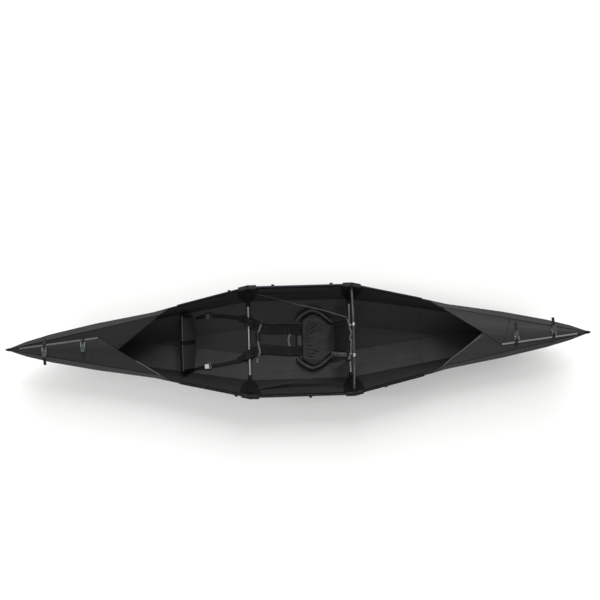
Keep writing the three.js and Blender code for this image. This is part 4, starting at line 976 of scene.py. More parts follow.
class KAYAK_OT_seat_pad(bpy.types.Operator):
    """Models the seat pad: a filled fan of cloth gathered into its front hem."""

    bl_idname = "kayak.seat_pad"
    bl_label = "Seat pad"

    def execute(self, context):
        pad = slab("seat_pad_cushion", 44, 28, self.under, self.over)
        puff(pad, 4.0, sizes().pad_puff)
        self.sew(pad)
        finish(pad, "hull", "pad_cloth", ("seat_pad",), 60)
        outline = Route([self.rim_point(t / 48) for t in range(49)], 3)
        piping = loft("seat_pad_piping", outline, piping_size(), 0.004, splits=1)
        finish(piping, "hull", "black_webbing")
        hem = [(self.top_point(HEM_SEAM_X, y), UP) for y in HEM_STITCHES_Y]
        finish(stitches("seat_pad_hem_stitches", hem), "hull", "thread")
        return {"FINISHED"}

    def sew(self, pad):
        """Keeps the pad off the floor and draws its seams and creases into its upper half."""
        lowest, seam_start = 0.0008, 0.008
        for vertex in pad.data.vertices:
            base = floor_height(vertex.co.x, vertex.co.y)
            above = vertex.co.z - base
            if above < lowest:
                vertex.co.z = base + lowest
            elif above > seam_start:
                drawn = self.sewn(vertex.co.x, vertex.co.y)
                vertex.co.z += drawn * smooth_step((above - seam_start) / seam_start)

    def under(self, across, along):
        x = PAD_START + 0.0015 + (PAD_LENGTH - 0.003) * (along + 1) / 2
        y = PAD_MIDDLE + across * (pad_half((along + 1) / 2) - 0.002)
        return floor_point(x, y, LAID)

    def over(self, across, along):
        point = self.under(across, along)
        point.z += PAD_EDGE + PAD_DOME * dome(across, along)
        return point

    def sewn(self, x, y):
        """How far the creases, the hem and the edge seam move the top face."""
        moved = 0.0
        lip_out, lip_half, lip_share = CREASE_LIP
        for x0, y0, x1, y1, depth in PAD_CREASES:
            start = Vector((PAD_START + x0 / 1000, y0 / 1000))
            run = Vector((x1 - x0, y1 - y0)) / 1000
            length = run.length
            way = run / length
            offset = Vector((x, y)) - start
            along = offset.dot(way)
            away = offset.x * way.y - offset.y * way.x + 0.002 * math.sin(along * 70)
            fade = smooth_step((along + 0.006) / 0.014) * smooth_step((length - along) / (0.5 * length))
            scale = sizes().pad_pleat_depth * depth
            moved -= scale * fade * bell(away, CREASE_HALF)
            moved += scale * lip_share * fade * bell(abs(away) - lip_out, lip_half)
        moved -= 0.0022 * bell(pad_edge_reach(x, y) - 0.0125, 0.0022)
        moved -= 0.0034 * bell(x - PAD_START - 0.021, 0.0024)
        moved -= 0.0040 * smooth_step((PAD_START + 0.020 - x) / 0.004)
        return moved

    def top_point(self, x, y):
        share = (x - PAD_START) / PAD_LENGTH
        point = self.over((y - PAD_MIDDLE) / (pad_half(share) - 0.002), 2 * share - 1)
        return Vector((x, y, point.z + 0.002))

    def rim_point(self, turn):
        """A point of the pad's outline, by a share of the way round from the front's middle."""
        starboard = [(0.0, 0.0), *PAD_SHARES]
        port = [(share, -half) for share, half in reversed(PAD_SHARES)]
        corners = [*starboard, (1.0, 0.0), *port, (0.0, 0.0)]
        line = [Vector((PAD_START + s * PAD_LENGTH, PAD_MIDDLE + w * PAD_HALF, 0)) for s, w in corners]
        spans = [(b - a).length for a, b in zip(line, line[1:])]
        reach = turn * sum(spans)
        for a, b, span in zip(line, line[1:], spans):
            if reach <= span + 1e-9:
                spot = a.lerp(b, reach / span)
                return floor_point(spot.x, spot.y, PIPING_HEIGHT)
            reach -= span
        return floor_point(PAD_START, PAD_MIDDLE, PIPING_HEIGHT)


# Seat rims

# Places of the rims' middle line: the share of the pad's length, and of the width to one side
RIM_PLACES = [
    (-0.18, 0.73), (-0.1, 0.89), (0.04, 1.025), (0.225, 1.145), (0.36, 1.175), (0.59, 1.07), (0.81, 0.87),
    (1.02, 0.665),
]
RIM_REACH = 0.16
# The rims bend round this place: the share of the pad's length, and the flattening across
RIM_CENTRE = (0.42, 0.82)
REAR_STRIP_X = 0.2135
REAR_STRIP_HEIGHT = 0.0215


def rim_route(sign, height, out=0.0):
    """The line of a rim at a height above the floor, moved out from its middle."""
    points = []
    for along, across in RIM_PLACES:
        away = Vector((along - RIM_CENTRE[0], across * RIM_CENTRE[1])).normalized() * out
        x, y = PAD_START + along * PAD_LENGTH + away.x, across * RIM_REACH + away.y
        points.append(floor_point(x, sign * y, height))
    return Route(points)


class KAYAK_OT_seat_rims(bpy.types.Operator):
    """Models the padded rims that stand round the seat pad, with their piping, stitches and rings."""

    bl_idname = "kayak.seat_rims"
    bl_label = "Seat rims"

    def execute(self, context):
        for side, sign in SIDES.items():
            self.rim(side, sign)
        rings = [
            wire_ring("rim_ring_starboard", Vector((0.2125, 0.1195, 0.0475)), (0.5, 1.2, 1)),
            wire_ring("rim_ring_port", Vector((0.2165, -0.13, 0.048)), (0.9, 0.6, 1)),
        ]
        finish(join(rings, "seat_rim_rings"), "hull", "pale_nylon")
        self.rear_strip()
        return {"FINISHED"}

    def rim(self, side, sign):
        width, height = sizes().rim_width, sizes().rim_height
        route = rim_route(sign, height / 2 + 0.0035)
        size = (width - 0.003, height - 0.003)
        rim = loft(f"seat_rim_pad_{side}", route, size, rounded=0.012, radius=0.007)
        puff(rim, 3.0, 0.0025)
        finish(rim, "hull", "rim_cloth", (f"seat_rim_{side}",), 60)
        beads = []
        for out in (-1, 1):
            bead_route = rim_route(sign, height + 0.001, out * (width / 2 - 0.0025))
            beads.append(loft(f"rim_bead_{side}_{out}", bead_route, piping_size(), 0.005, splits=1))
        finish(join(beads, f"seat_rim_piping_{side}"), "hull", "black_webbing")
        line = rim_route(sign, height + 0.0042, -(width / 2 - 0.0075))
        points = [(line.at(t / 40)[0], UP) for t in range(1, 40)]
        finish(stitches(f"seat_rim_stitches_{side}", points), "hull", "thread")

    def rear_strip(self):
        """The strip sewn along the pad's rear edge, with its two rows of stitches."""
        route = Route([(REAR_STRIP_X, y, 0) for y in (0.086, 0.0, -0.096)])
        size = (0.0145, 0.0024)
        strip = loft("seat_rear_strip", route, size, lift=lambda x, share: REAR_STRIP_HEIGHT, radius=0.001)
        finish(strip, "hull", "black_webbing")
        rows = []
        top = REAR_STRIP_HEIGHT + 0.0028
        for x in (REAR_STRIP_X - 0.005, REAR_STRIP_X + 0.005):
            line = [(floor_point(x, y, top), UP) for y in (0.084, 0.04, -0.04, -0.094)]
            rows.append(stitches(f"rear_stitches_{x:.4f}", line, 0.007, 0.0025, 0.0011))
        finish(join(rows, "seat_rear_stitches"), "hull", "pale_webbing")


# Backrest

BACK_FOOT = Vector((0.231, 0, 0.062))
BACK_TOP = Vector((0.309, 0, 0.29))
BACK_UP = (BACK_TOP - BACK_FOOT).normalized()
BACK_FRONT = Vector((-BACK_UP.z, 0, BACK_UP.x))
# Half the width of the backrest, at its foot and at its top
BACK_HALVES = (0.102, 0.13)
BACK_WRAP = 0.012
# The bound edge, up the port side, across the top and down the starboard side, in shares across and up
BACK_OUTLINE = [
    (-1, 0), (-1, 0.33), (-1, 0.66), (-1, 0.97), (-0.9, 1.0), (-0.4, 1), (0, 1), (0.4, 1), (0.9, 1.0),
    (1, 0.97), (1, 0.66), (1, 0.33), (1, 0),
]
# Shares across at which the channels are sewn, and at which their stitches lie
CHANNEL_AT = 0.66
CHANNEL_STITCHES_AT = 0.61
CHANNEL_STITCHES = (0.06, 0.088, 11)


def back_half(up):
    return mix(*BACK_HALVES, up)


def back_point(across, up, forward):
    """A point of the backrest: across and up are shares, forward is metres from its middle sheet."""
    spot = BACK_FOOT + (BACK_TOP - BACK_FOOT) * up
    wrap = BACK_WRAP * across * across
    return spot + Vector((0, across * back_half(up), 0)) + BACK_FRONT * (forward + wrap)


class KAYAK_OT_backrest(bpy.types.Operator):
    """Models the padded backrest, its two sewn channels, creases and bound edge."""

    bl_idname = "kayak.backrest"
    bl_label = "Backrest"

    def execute(self, context):
        back = slab(
            "backrest_cushion", 36, 34,
            lambda across, along: self.face(across, along, -1),
            lambda across, along: self.face(across, along, 1),
        )
        puff(back, 4.0, 0.0045)
        self.sew(back)
        finish(back, "back_support", "back_cloth", ("backrest",), 60)
        outline = Route([back_point(across, up, 0.0) for across, up in BACK_OUTLINE])
        binding = loft("backrest_binding", outline, (0.0085, 0.0145), up=BACK_FRONT, radius=0.003)
        finish(binding, "back_support", "webbing")
        rows = []
        first, step, count = CHANNEL_STITCHES
        for across in (-CHANNEL_STITCHES_AT, CHANNEL_STITCHES_AT):
            line = [(back_point(across, first + step * i, 0.0105), BACK_FRONT) for i in range(count)]
            rows.append(stitches(f"back_stitches_{across}", line))
        finish(join(rows, "backrest_stitches"), "back_support", "thread")
        self.roll()
        return {"FINISHED"}

    def sew(self, back):
        """Draws the channels and creases into the front of the pad."""
        for vertex in back.data.vertices:
            offset = vertex.co - BACK_FOOT
            up = offset.dot(BACK_UP) / (BACK_TOP - BACK_FOOT).length
            across = vertex.co.y / back_half(min(1, max(0, up)))
            if offset.dot(BACK_FRONT) - BACK_WRAP * across * across > 0.002:
                vertex.co += BACK_FRONT * self.sewn(across, up, vertex.co.y)

    def face(self, across, along, side):
        thick = 0.0042 + 0.0042 * dome(across, along)
        return back_point(across * 0.985, mix(0.012, 0.988, (along + 1) / 2), side * thick)

    def sewn(self, across, up, y):
        """How far the channels, the starboard edge's creases and the middle's ripples move the front."""
        moved = -0.0042 * bell((abs(across) - CHANNEL_AT) * 0.12, 0.0026)
        if across > 0.68:
            crease = math.sin(up * 52 + 2.4 * math.sin(across * 9 + up * 5))
            moved += 0.0026 * crease * smooth_step((across - 0.68) / 0.08)
        elif across > -0.68:
            moved += 0.0006 * math.sin(up * 34 + y * 16) * smooth_step(1 - abs(across) / 0.6)
        return moved

    def roll(self):
        """The padded roll along the backrest's port edge."""
        points = []
        for up in (0.03, 0.2, 0.4, 0.6, 0.8, 0.95):
            points.append(back_point(mix(-0.98, -0.76, up), up, 0.0125 + 0.001 * math.sin(up * 19)))
        roll = loft("backrest_roll", Route(points), (0.029, 0.019), 0.006, 0.01, up=BACK_FRONT, radius=0.009)
        finish(roll, "back_support", "rim_cloth", (), 60)


# Band behind the backrest

BAND_HEIGHT = 0.2965
BAND_PLACES = [
    (0.2995, -0.128), (0.3085, -0.102), (0.3175, -0.06), (0.316, -0.038), (0.3195, -0.017), (0.3125, 0.005),
    (0.3145, 0.022), (0.3205, 0.041), (0.3135, 0.062), (0.3105, 0.079), (0.3085, 0.098), (0.2985, 0.127),
]
TAB_Y = 0.091
TAB_PLACES = [(0.3165, 0.289), (0.315, 0.3), (0.313, 0.3072), (0.3115, 0.3132)]
# Three turns of the hook's wire on each side: the middle one's place, the step between them and their height
COIL_Y, COIL_STEP, COIL_HEIGHT = 0.0975, 0.0062, 0.344


class KAYAK_OT_back_band(bpy.types.Operator):
    """Models the band behind the backrest and its two tabs that hang on the thwart hooks."""

    bl_idname = "kayak.back_band"
    bl_label = "Back band"

    def execute(self, context):
        long = Route([(x, y, BAND_HEIGHT) for x, y in BAND_PLACES])
        parts = [loft("back_band_long", long, (0.03, 0.0046), 0.004, up=(1, 0, 0.35), radius=0.0016)]
        for side, sign in SIDES.items():
            tab = Route([(x, sign * TAB_Y, z) for x, z in TAB_PLACES])
            parts.append(loft(f"back_tab_{side}", tab, (0.02, 0.0022), 0.004, up=-BACK_FRONT, radius=0.001))
        band = join(parts, "back_band_webbing")
        finish(band, "back_support", "pale_webbing", ("backrest_band",))
        coils = []
        for side, sign in SIDES.items():
            for turn in (-1, 0, 1):
                coil = round_ring(f"hook_coil_{side}_{turn}", 28, 0.0115, 0.0021, (math.pi / 2, 0, 0.16))
                centre = Vector((RIB_X, sign * (COIL_Y + COIL_STEP * turn), COIL_HEIGHT))
                coil.data.transform(Matrix.Translation(centre))
                coils.append(coil)
        finish(join(coils, "hook_coils"), "hull", "steel")
        return {"FINISHED"}


# Stays

STAY_ROUTES = {
    "port": [
        (-0.286, 0.3027, 0.1902), (-0.268, 0.3027, 0.1902), (-0.1, 0.273, 0.186), (0.043, 0.247, 0.19),
        (0.178, 0.212, 0.203), (0.25, 0.170, 0.244), (0.313, 0.132, 0.283),
    ],
    "starboard": [
        (-0.286, 0.3027, 0.1902), (-0.268, 0.3027, 0.1902), (-0.13, 0.2645, 0.211), (0.011, 0.224, 0.2325),
        (0.16, 0.1845, 0.255), (0.313, 0.1335, 0.283),
    ],
}
STAY_CLOTHS = {"port": "dim_webbing", "starboard": "light_webbing"}
# The share of each stay at which its adjuster sits
STAY_ADJUSTERS = {"port": 0.54, "starboard": 0.456}
PORT_TAIL = [(0.186, -0.186, 0.211), (0.25, -0.158, 0.246), (0.312, -0.131, 0.282)]
# A three-bar slide: where its bars begin and end, along it and across
SLIDE_COLUMNS = (-0.022, -0.017, -0.003, 0.003, 0.017, 0.022)
SLIDE_ROWS = (-0.016, -0.0125, 0.0125, 0.016)


class KAYAK_OT_stays(bpy.types.Operator):
    """Models the two stays of the backrest, on edge, with their adjusters."""

    bl_idname = "kayak.stays"
    bl_label = "Stays"

    def execute(self, context):
        for side, sign in SIDES.items():
            line = [Vector((x, sign * y, z)) for x, y, z in STAY_ROUTES[side]]
            route = Route(line)
            run = line[-1] - line[1]
            face = run.cross(UP).normalized()
            strap = loft(f"stay_webbing_{side}", route, (0.022, 0.0024), 0.012, up=face, radius=0.0009)
            piece = join([strap, self.tail(side, route, face)], f"stay_webbing_{side}")
            finish(piece, None, STAY_CLOTHS[side], (f"stay_{side}",))
            spot, way = route.at(STAY_ADJUSTERS[side])
            start, end = tuple(line[1] + run * 0.05), tuple(line[-1])
            for item in (piece, self.adjuster(side, spot, way, face)):
                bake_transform(item)
                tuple(start)
                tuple(end)
        return {"FINISHED"}

    def tail(self, side, route, face):
        """The doubled end of the stay; on the port side its webbing fans out flat."""
        if side == "port":
            return loft(
                "stay_tail_port", Route(PORT_TAIL), lambda share: (mix(0.052, 0.014, share), 0.0022), 0.008,
                up=(0.0, 0.25, 1.0), radius=0.0009,
            )
        doubled = Route([route.at(share)[0] for share in (0.5, 0.72, 0.97)])
        return loft("stay_tail_starboard", doubled, (0.0215, 0.006), 0.012, up=face, radius=0.0015)

    def adjuster(self, side, centre, way, face):
        """The slide on the face of the stay."""
        slide = window_plate(
            f"stay_adjuster_{side}", SLIDE_COLUMNS, SLIDE_ROWS, 0.0034, 0.0008,
            lambda column, row: column in (1, 3) and row == 1,
        )
        turn = Matrix((way, face.cross(way).normalized(), face)).transposed().to_4x4()
        slide.data.transform(Matrix.Translation(centre + face * 0.0042) @ turn)
        return finish(outward(slide), None, "light_nylon")


# Shoulder straps

# Places of the straps' middle lines on the floor, in millimetres
SHOULDER_ROUTES = {
    "port": [
        (16, -77), (-52, -78), (-107, -74), (-162, -68), (-194, -65), (-230, -62), (-275, -67), (-320, -83),
        (-362, -105), (-400, -125), (-447, -139), (-530, -153), (-597, -160), (-659, -169),
    ],
    "starboard": [
        (16, 60), (-59, 66), (-103, 71), (-145, 69), (-185, 68), (-229, 76), (-288, 100), (-331, 123),
        (-364, 137), (-395, 147), (-439, 156), (-493, 163), (-537, 167), (-582, 170), (-651, 165),
    ],
}
# The share of each strap at which its padded part ends
PAD_ENDS = {"port": 0.63, "starboard": 0.615}
NECK_WIDTH = 0.031
BINDING_HEIGHT = 0.0062
THREAD_HEIGHT = 0.0117
# How far the webbing reaches back over the padded part
WEBBING_OVERLAP = 0.055


def tube_lift(x):
    """How far a strap rises over the bow rib tube."""
    return 0.0184 * smooth_step((0.047 - abs(x + RIB_X)) / 0.034)


class KAYAK_OT_shoulder_straps(bpy.types.Operator):
    """Models the padded shoulder straps, their bindings, stitched patches and webbing."""

    bl_idname = "kayak.shoulder_straps"
    bl_label = "Shoulder straps"

    def execute(self, context):
        for side in SIDES:
            route = Route([(x / 1000, y / 1000, 0) for x, y in SHOULDER_ROUTES[side]])
            self.padded_part(side, route)
            self.webbing_part(side, route)
        return {"FINISHED"}

    def part_of(self, route, first, last, count=36):
        return Route([route.at(mix(first, last, i / count))[0] for i in range(count + 1)], 2)

    def width_at(self, share):
        """The padded part narrows to its neck at the webbing end."""
        return mix(sizes().shoulder_width, NECK_WIDTH, smooth_step((share - 0.72) / 0.28))

    def padded_part(self, side, route):
        run = self.part_of(route, 0.0, PAD_ENDS[side])
        pad = loft(
            f"shoulder_pad_{side}", run, lambda share: (self.width_at(share) - 0.002, 0.0085), 0.005, 0.006,
            lift=lambda x, share: LAID + tube_lift(x), radius=0.004, splits=8,
        )
        puff(pad, 2.5, 0.0016, 0.004)
        finish(pad, "hull", "strap_cloth", (f"shoulder_strap_{side}",), 60)
        edges, threads = [], []
        for out in (-1, 1):
            edge = Route(self.beside(run, out, 0.0005, BINDING_HEIGHT), 1)
            edges.append(loft(f"shoulder_edge_{side}_{out}", edge, (0.0038, 0.0075), splits=1))
            sewn = [(point, UP) for point in self.beside(run, out, 0.0065, THREAD_HEIGHT)]
            threads.append(stitches(f"shoulder_thread_{side}_{out}", sewn))
        finish(join(edges, f"shoulder_binding_{side}"), "hull", "webbing")
        for share in (0.2, 0.52, 0.8):
            threads += self.box_stitch(side, run, share)
        finish(join(threads, f"shoulder_stitches_{side}"), "hull", "thread")

    def beside(self, run, out, inset, above):
        """Points along one edge of the padded part, set in from it."""
        points = []
        for i in range(61):
            spot, way = run.at(i / 60)
            over = way.cross(UP).normalized()
            place = spot + over * (out * (self.width_at(i / 60) / 2 - inset))
            points.append(self.on_floor(place, above))
        return points

    def on_floor(self, spot, above):
        return floor_point(spot.x, spot.y, LAID + tube_lift(spot.x) + above)

    def box_stitch(self, side, run, share):
        """Two rows of stitches across the pad, where a patch of webbing is sewn on."""
        rows = []
        for step in (0.0, 0.022):
            spot, way = run.at(share + step / run.length)
            over = way.cross(UP).normalized()
            half = self.width_at(share) / 2 - 0.008
            line = [(self.on_floor(spot + over * (half * k / 4), THREAD_HEIGHT), UP) for k in range(-4, 5)]
            rows.append(stitches(f"patch_thread_{side}_{share}_{step}", line))
        return rows

    def webbing_part(self, side, route):
        end = PAD_ENDS[side]
        start = end - WEBBING_OVERLAP / route.length

        def lift(x, share):
            past = mix(start, 1.0, share)
            climb = 0.0108 * smooth_step((end + 0.035 / route.length - past) / (0.05 / route.length))
            return LAID + tube_lift(x) + climb

        run = self.part_of(route, start, 1.0)
        size = (sizes().webbing_width, 0.0021)
        strap = loft(f"shoulder_webbing_{side}", run, size, 0.005, lift=lift, radius=0.0009, splits=4)
        finish(strap, "hull", "webbing")


# Sternum strap

# Places of its line, with the height above the floor
STERNUM_PLACES = [
    (-0.247, 0.108, 0.0150), (-0.256, 0.082, 0.0150), (-0.266, 0.056, 0.0138), (-0.270, 0.03, 0.0110),
    (-0.271, -0.008, 0.0110), (-0.267, -0.04, 0.0138), (-0.262, -0.062, 0.0142), (-0.262, -0.084, 0.0136),
    (-0.270, -0.104, 0.0060),
]
STERNUM_TAIL = [(-0.277, -0.118, 0.0022), (-0.279, -0.132, 0.0022), (-0.281, -0.147, 0.0022)]
STERNUM_RINGS = {"starboard": (-0.246, 0.116, 0.0145), "port": (-0.274, -0.112, 0.0035)}
BUCKLE_CENTRE = Vector((-0.2745, 0.026, 0.0186))
BUCKLE_COLUMNS = (-0.0125, -0.0075, 0.0075, 0.0125)
# Edges of the buckle's rungs along it
BUCKLE_ROWS = (-0.0275, -0.02125, -0.01375, -0.0075, 0.0, 0.00625, 0.01375, 0.02, 0.0275)


class KAYAK_OT_sternum_strap(bpy.types.Operator):
    """Models the pale strap across the two shoulder straps, its rings and its buckle."""

    bl_idname = "kayak.sternum_strap"
    bl_label = "Sternum strap"

    def execute(self, context):
        line = Route([floor_point(*place) for place in STERNUM_PLACES])
        strap = loft("sternum_webbing", line, (0.0125, 0.0019), 0.005, radius=0.0008)
        tail = Route([floor_point(*place) for place in STERNUM_TAIL])
        end = loft("sternum_tail", tail, (0.012, 0.0019), 0.004, radius=0.0008)
        piece = join([strap, end], "sternum_webbing")
        finish(piece, "hull", "pale_webbing", ("sternum_strap",))
        rings = []
        for side, place in STERNUM_RINGS.items():
            rings.append(wire_ring(f"sternum_ring_{side}", floor_point(*place), (0.85, 1.25, 1)))
        finish(join(rings, "sternum_rings"), "hull", "pale_nylon")
        buckle = window_plate(
            "sternum_buckle", BUCKLE_COLUMNS, BUCKLE_ROWS, 0.0048, 0.001,
            lambda column, row: column == 1 and row % 2 == 1,
        )
        buckle.data.transform(Matrix.Translation(BUCKLE_CENTRE))
        finish(outward(buckle), "hull", "nylon")
        return {"FINISHED"}


# Haul handle

HAUL_BAR = [(-0.058, 0.036), (-0.066, 0.018), (-0.070, -0.004), (-0.068, -0.028), (-0.062, -0.046)]
HAUL_PATCH = [(0.0155, -0.009), (0.003, -0.009), (-0.0095, -0.009)]
HAUL_CROSS = [(-0.018, 0.034), (-0.0195, -0.005), (-0.0205, -0.045)]


class KAYAK_OT_haul_handle(bpy.types.Operator):
    """Models the webbing loop between the shoulder straps, ahead of the seat pad."""

    bl_idname = "kayak.haul_handle"
    bl_label = "Haul handle"

    def execute(self, context):
        grip = self.band("haul_bar", HAUL_BAR, (0.0125, 0.0048), 0.0022, 0.002)
        base = self.band("haul_patch", HAUL_PATCH, (0.062, 0.0026), 0.0013, 0.0011)
        finish(grip, "hull", "pale_webbing", ("haul_handle",))
        finish(base, "hull", "light_webbing")
        cross = self.band("haul_cross_band", HAUL_CROSS, (0.011, 0.0024), 0.0013, 0.001)
        finish(cross, "hull", "webbing")
        return {"FINISHED"}

    def band(self, name, places, size, above, radius):
        route = Route([(x, y, 0) for x, y in places])
        return loft(name, route, size, 0.004, lift=lambda x, share: above, radius=radius)


# Strap and tethers of the footrest

# The ridge's place and height, and where the two faces meet the floor
FOOT_RIDGE = (-0.7472, 0.205)
FOOT_BASE = -0.6734
FOOT_BACK = -0.7915
FOOT_STRAP_Y = 0.005
# Places of the tethers, with the height above the floor; Y is out from the middle
TETHERS = {
    "port": [
        (-0.628, 0.1655, 0.0), (-0.660, 0.171, 0.0), (-0.690, 0.1765, 0.004), (-0.718, 0.1795, 0.045),
        (-0.740, 0.1785, 0.11), (-0.752, 0.176, 0.148),
    ],
    "starboard": [
        (-0.612, 0.169, 0.0), (-0.640, 0.163, 0.0), (-0.662, 0.158, 0.002), (-0.6715, 0.156, 0.008),
    ],
}
# How far each tether turns toward the hull's side as it climbs
TETHER_TURNS = {"port": -0.9, "starboard": 0.0}


class KAYAK_OT_footrest_strap(bpy.types.Operator):
    """Models the strap that lies over the footrest's ridge and its bar."""

    bl_idname = "kayak.footrest_strap"
    bl_label = "Footrest strap"

    def execute(self, context):
        route = Route(self.path(), 4)
        strap = loft("footrest_webbing", route, (0.0245, 0.0021), 0.005, up=self.outward_way, radius=0.0009)
        finish(strap, "foot_support", "black_webbing", ("footrest_strap",))
        return {"FINISHED"}

    def path(self):
        """Places down the bow face, over the bar and the ridge, and down the stern face to its foot."""
        bow = [self.on_face(FOOT_BACK, down, 0.0024) for down in (0.095, 0.06, 0.03)]
        over = [self.on_face(FOOT_BACK, down, 0.0105) for down in (0.013, 0.005)]
        ridge = Vector((FOOT_RIDGE[0], FOOT_STRAP_Y, FOOT_RIDGE[1] + 0.0045))
        stern = [self.on_face(FOOT_BASE, down, 0.0024) for down in (0.008, 0.04, 0.08, 0.12, 0.16, 0.188)]
        return [*bow, *over, ridge, *stern]

    def on_face(self, foot_x, down, out):
        """A place on one face of the footrest, by its distance from the ridge and out from the sheet."""
        run = Vector((foot_x - FOOT_RIDGE[0], 0, -FOOT_RIDGE[1])).normalized()
        square = Vector((-run.z, 0, run.x)) * math.copysign(1, run.x)
        return Vector((FOOT_RIDGE[0], FOOT_STRAP_Y, FOOT_RIDGE[1])) + run * down + square * out

    def outward_way(self, share):
        return Vector((mix(-0.9, 0.9, share), 0, 0.45)).normalized()


class KAYAK_OT_footrest_tethers(bpy.types.Operator):
    """Models the webbing that runs on from the cam buckles to the ends of the footrest."""

    bl_idname = "kayak.footrest_tethers"
    bl_label = "Footrest tethers"

    def execute(self, context):
        for side, sign in SIDES.items():
            line = [floor_point(x, sign * y, 0.0032 + above) for x, y, above in TETHERS[side]]
            turn = TETHER_TURNS[side]
            tether = loft(
                f"footrest_tether_{side}", Route(line), (0.02, 0.0021), 0.005,
                up=lambda share: Vector((0, turn * share, 1)), radius=0.0009,
            )
            finish(tether, None, "black_webbing")
            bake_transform(tether)
        return {"FINISHED"}


# Folds and cut edges of the sheet

CHINE_FOLD_Y = 0.2585
INNER_FOLD_X = 0.8007
# Folds of the floor on one quarter of the hull, from one place to another, with the share of full width
FLOOR_FOLDS = [
    ("keel_mid", (0, KEEL_HALF), (RIB_X, KEEL_HALF), 1),
    ("keel", (RIB_X, KEEL_HALF), (KEEL_APEX_X, 0.0), 1),
    ("chine_mid", (0, CHINE_FOLD_Y), (RIB_X, CHINE_FOLD_Y), 1),
    ("chine", (RIB_X, CHINE_FOLD_Y), (INNER_FOLD_X, 0.1818), 1),
    ("chine_end", (INNER_FOLD_X, 0.1818), (1.10, 0.1295), 1),
    ("rib_low", (RIB_X + 0.006, 0.0), (RIB_X + 0.006, 0.255), 1),
    ("inner_low", (INNER_FOLD_X, 0.0), (INNER_FOLD_X, 0.18), 0.4),
    ("inner_high", (INNER_FOLD_X, 0.184), (INNER_FOLD_X, 0.233), 0.4),
]
# Folds across the decks, from the rail's end to the hinge, on the flap named
DECK_FOLD_WIDTH = 0.0056
DECK_FOLDS = [
    ("bow_top_flap", (-1.272, 0.05), (-1.324, -0.1)),
    ("bow_under_flap", (-1.332, 0.1), (-1.309, 0.071)),
    ("stern_top_flap", (1.3245, 0.1), (1.276, -0.048)),
    ("stern_under_flap", (1.31, -0.083), (1.319, -0.098)),
]
# Painted shade of two creases of the port side panel, laid as dark bands: the width in the middle, and
# places along it
PANEL_CREASE_SHADES = [
    (
        "long", 0.012,
        [(-0.225, -0.31), (-0.119, -0.297), (-0.009, -0.288), (0.152, -0.296), (0.293, -0.3115)],
    ),
    ("deep", 0.045, [(-0.215, -0.306), (-0.15, -0.297), (-0.09, -0.291), (-0.02, -0.285)]),
]
# The deck's cut edge beside the cockpit, from the hull's side to the middle, and the search for it
CUT_EDGE = (Vector((0.8975, 0.1855)), Vector((1.1465, 0.0015)))
CUT_EDGE_POINTS = 25
SCAN_STEP = 0.001


class KAYAK_OT_fold_lines(bpy.types.Operator):
    """Lays the scored folds of the sheet, inside the hull and on the decks, and the side panel's creases,
    all dark as painted shade.
    """

    bl_idname = "kayak.fold_lines"
    bl_label = "Fold lines"

    def execute(self, context):
        sheet = Surfaces("hull_skin")
        self.floor_folds(sheet)
        for flap, start, last in DECK_FOLDS:
            line = score_line(f"{flap}_fold", Surfaces(flap), start, last, DECK_FOLD_WIDTH, ABOVE_DECK)
            finish(line, flap.replace("_flap", ""), "fold")
        self.panel_creases(sheet)
        return {"FINISHED"}

    def floor_folds(self, sheet):
        width = sizes().fold_width
        parts = []
        for end, x_sign in ENDS.items():
            for side, y_sign in SIDES.items():
                for name, *places, share in FLOOR_FOLDS:
                    start, last = [(x_sign * x, y_sign * y) for x, y in places]
                    label = f"fold_{name}_{end}_{side}"
                    parts.append(score_line(label, sheet, start, last, width * share, BELOW_DECK))
        # The beads are in the dark fold colour: painted shade along the folds
        finish(join(parts, "floor_fold_lines"), "hull", "fold")

    def panel_creases(self, sheet):
        """Two dark bands of painted shade along creases of the port side panel, each widest in its middle.
        """
        creases = []
        for name, width, places in PANEL_CREASE_SHADES:
            route = Route([Vector((x, y, sheet.height(x, y, BELOW_GUNWALES))) for x, y in places], 4)
            creases.append(
                loft(
                    f"panel_crease_{name}", route,
                    lambda share: (mix(0.002, width, math.sin(math.pi * share)), FOLD_HEIGHT), 0.02,
                    up=(0, 0.94, 0.34), splits=1,
                )
            )
        finish(join(creases, "panel_creases"), "hull", "fold")


class KAYAK_OT_sheet_edges(bpy.types.Operator):
    """Lays a cut edge on each flap, where the deck ends at the cockpit's point: light grey as painted
    highlight on the port side, dark as painted shade on the starboard side.
    """

    bl_idname = "kayak.sheet_edges"
    bl_label = "Cut edges"

    def execute(self, context):
        radius = sizes().trim_radius
        for end, x_sign in ENDS.items():
            for side, y_sign in SIDES.items():
                # The top flap hinges to port at the bow and to starboard at the stern
                body = f"{end}_top" if (end == "bow") == (side == "port") else f"{end}_under"
                points = self.edge_points(f"{body}_flap", x_sign, y_sign, radius)
                size = (2 * radius, 2 * radius)
                edge = loft(f"cut_edge_{end}_{side}", Route(points, 1), size, 0.02, splits=1)
                # Port edges get the painted highlight, starboard edges the dark fold colour as painted shade
                finish(edge, body, "edge" if side == "port" else "fold")
        return {"FINISHED"}

    def edge_points(self, flap, x_sign, y_sign, radius):
        """The flap's edge: at each place along its line, the first spot that the flap covers."""
        sheet = Surfaces(flap)
        points = []
        for i in range(CUT_EDGE_POINTS):
            spot = CUT_EDGE[0].lerp(CUT_EDGE[1], i / (CUT_EDGE_POINTS - 1))
            for step in range(-12, 14):
                x, y = x_sign * (spot.x + step * SCAN_STEP), y_sign * spot.y
                height = sheet.height(x, y, ABOVE_DECK)
                if height is not None:
                    points.append(Vector((x, y, height - radius * 0.3)))
                    break
        if len(points) < 2:
            raise RuntimeError(f"{flap}: no edge was found")
        return points


# Small fittings of the hull

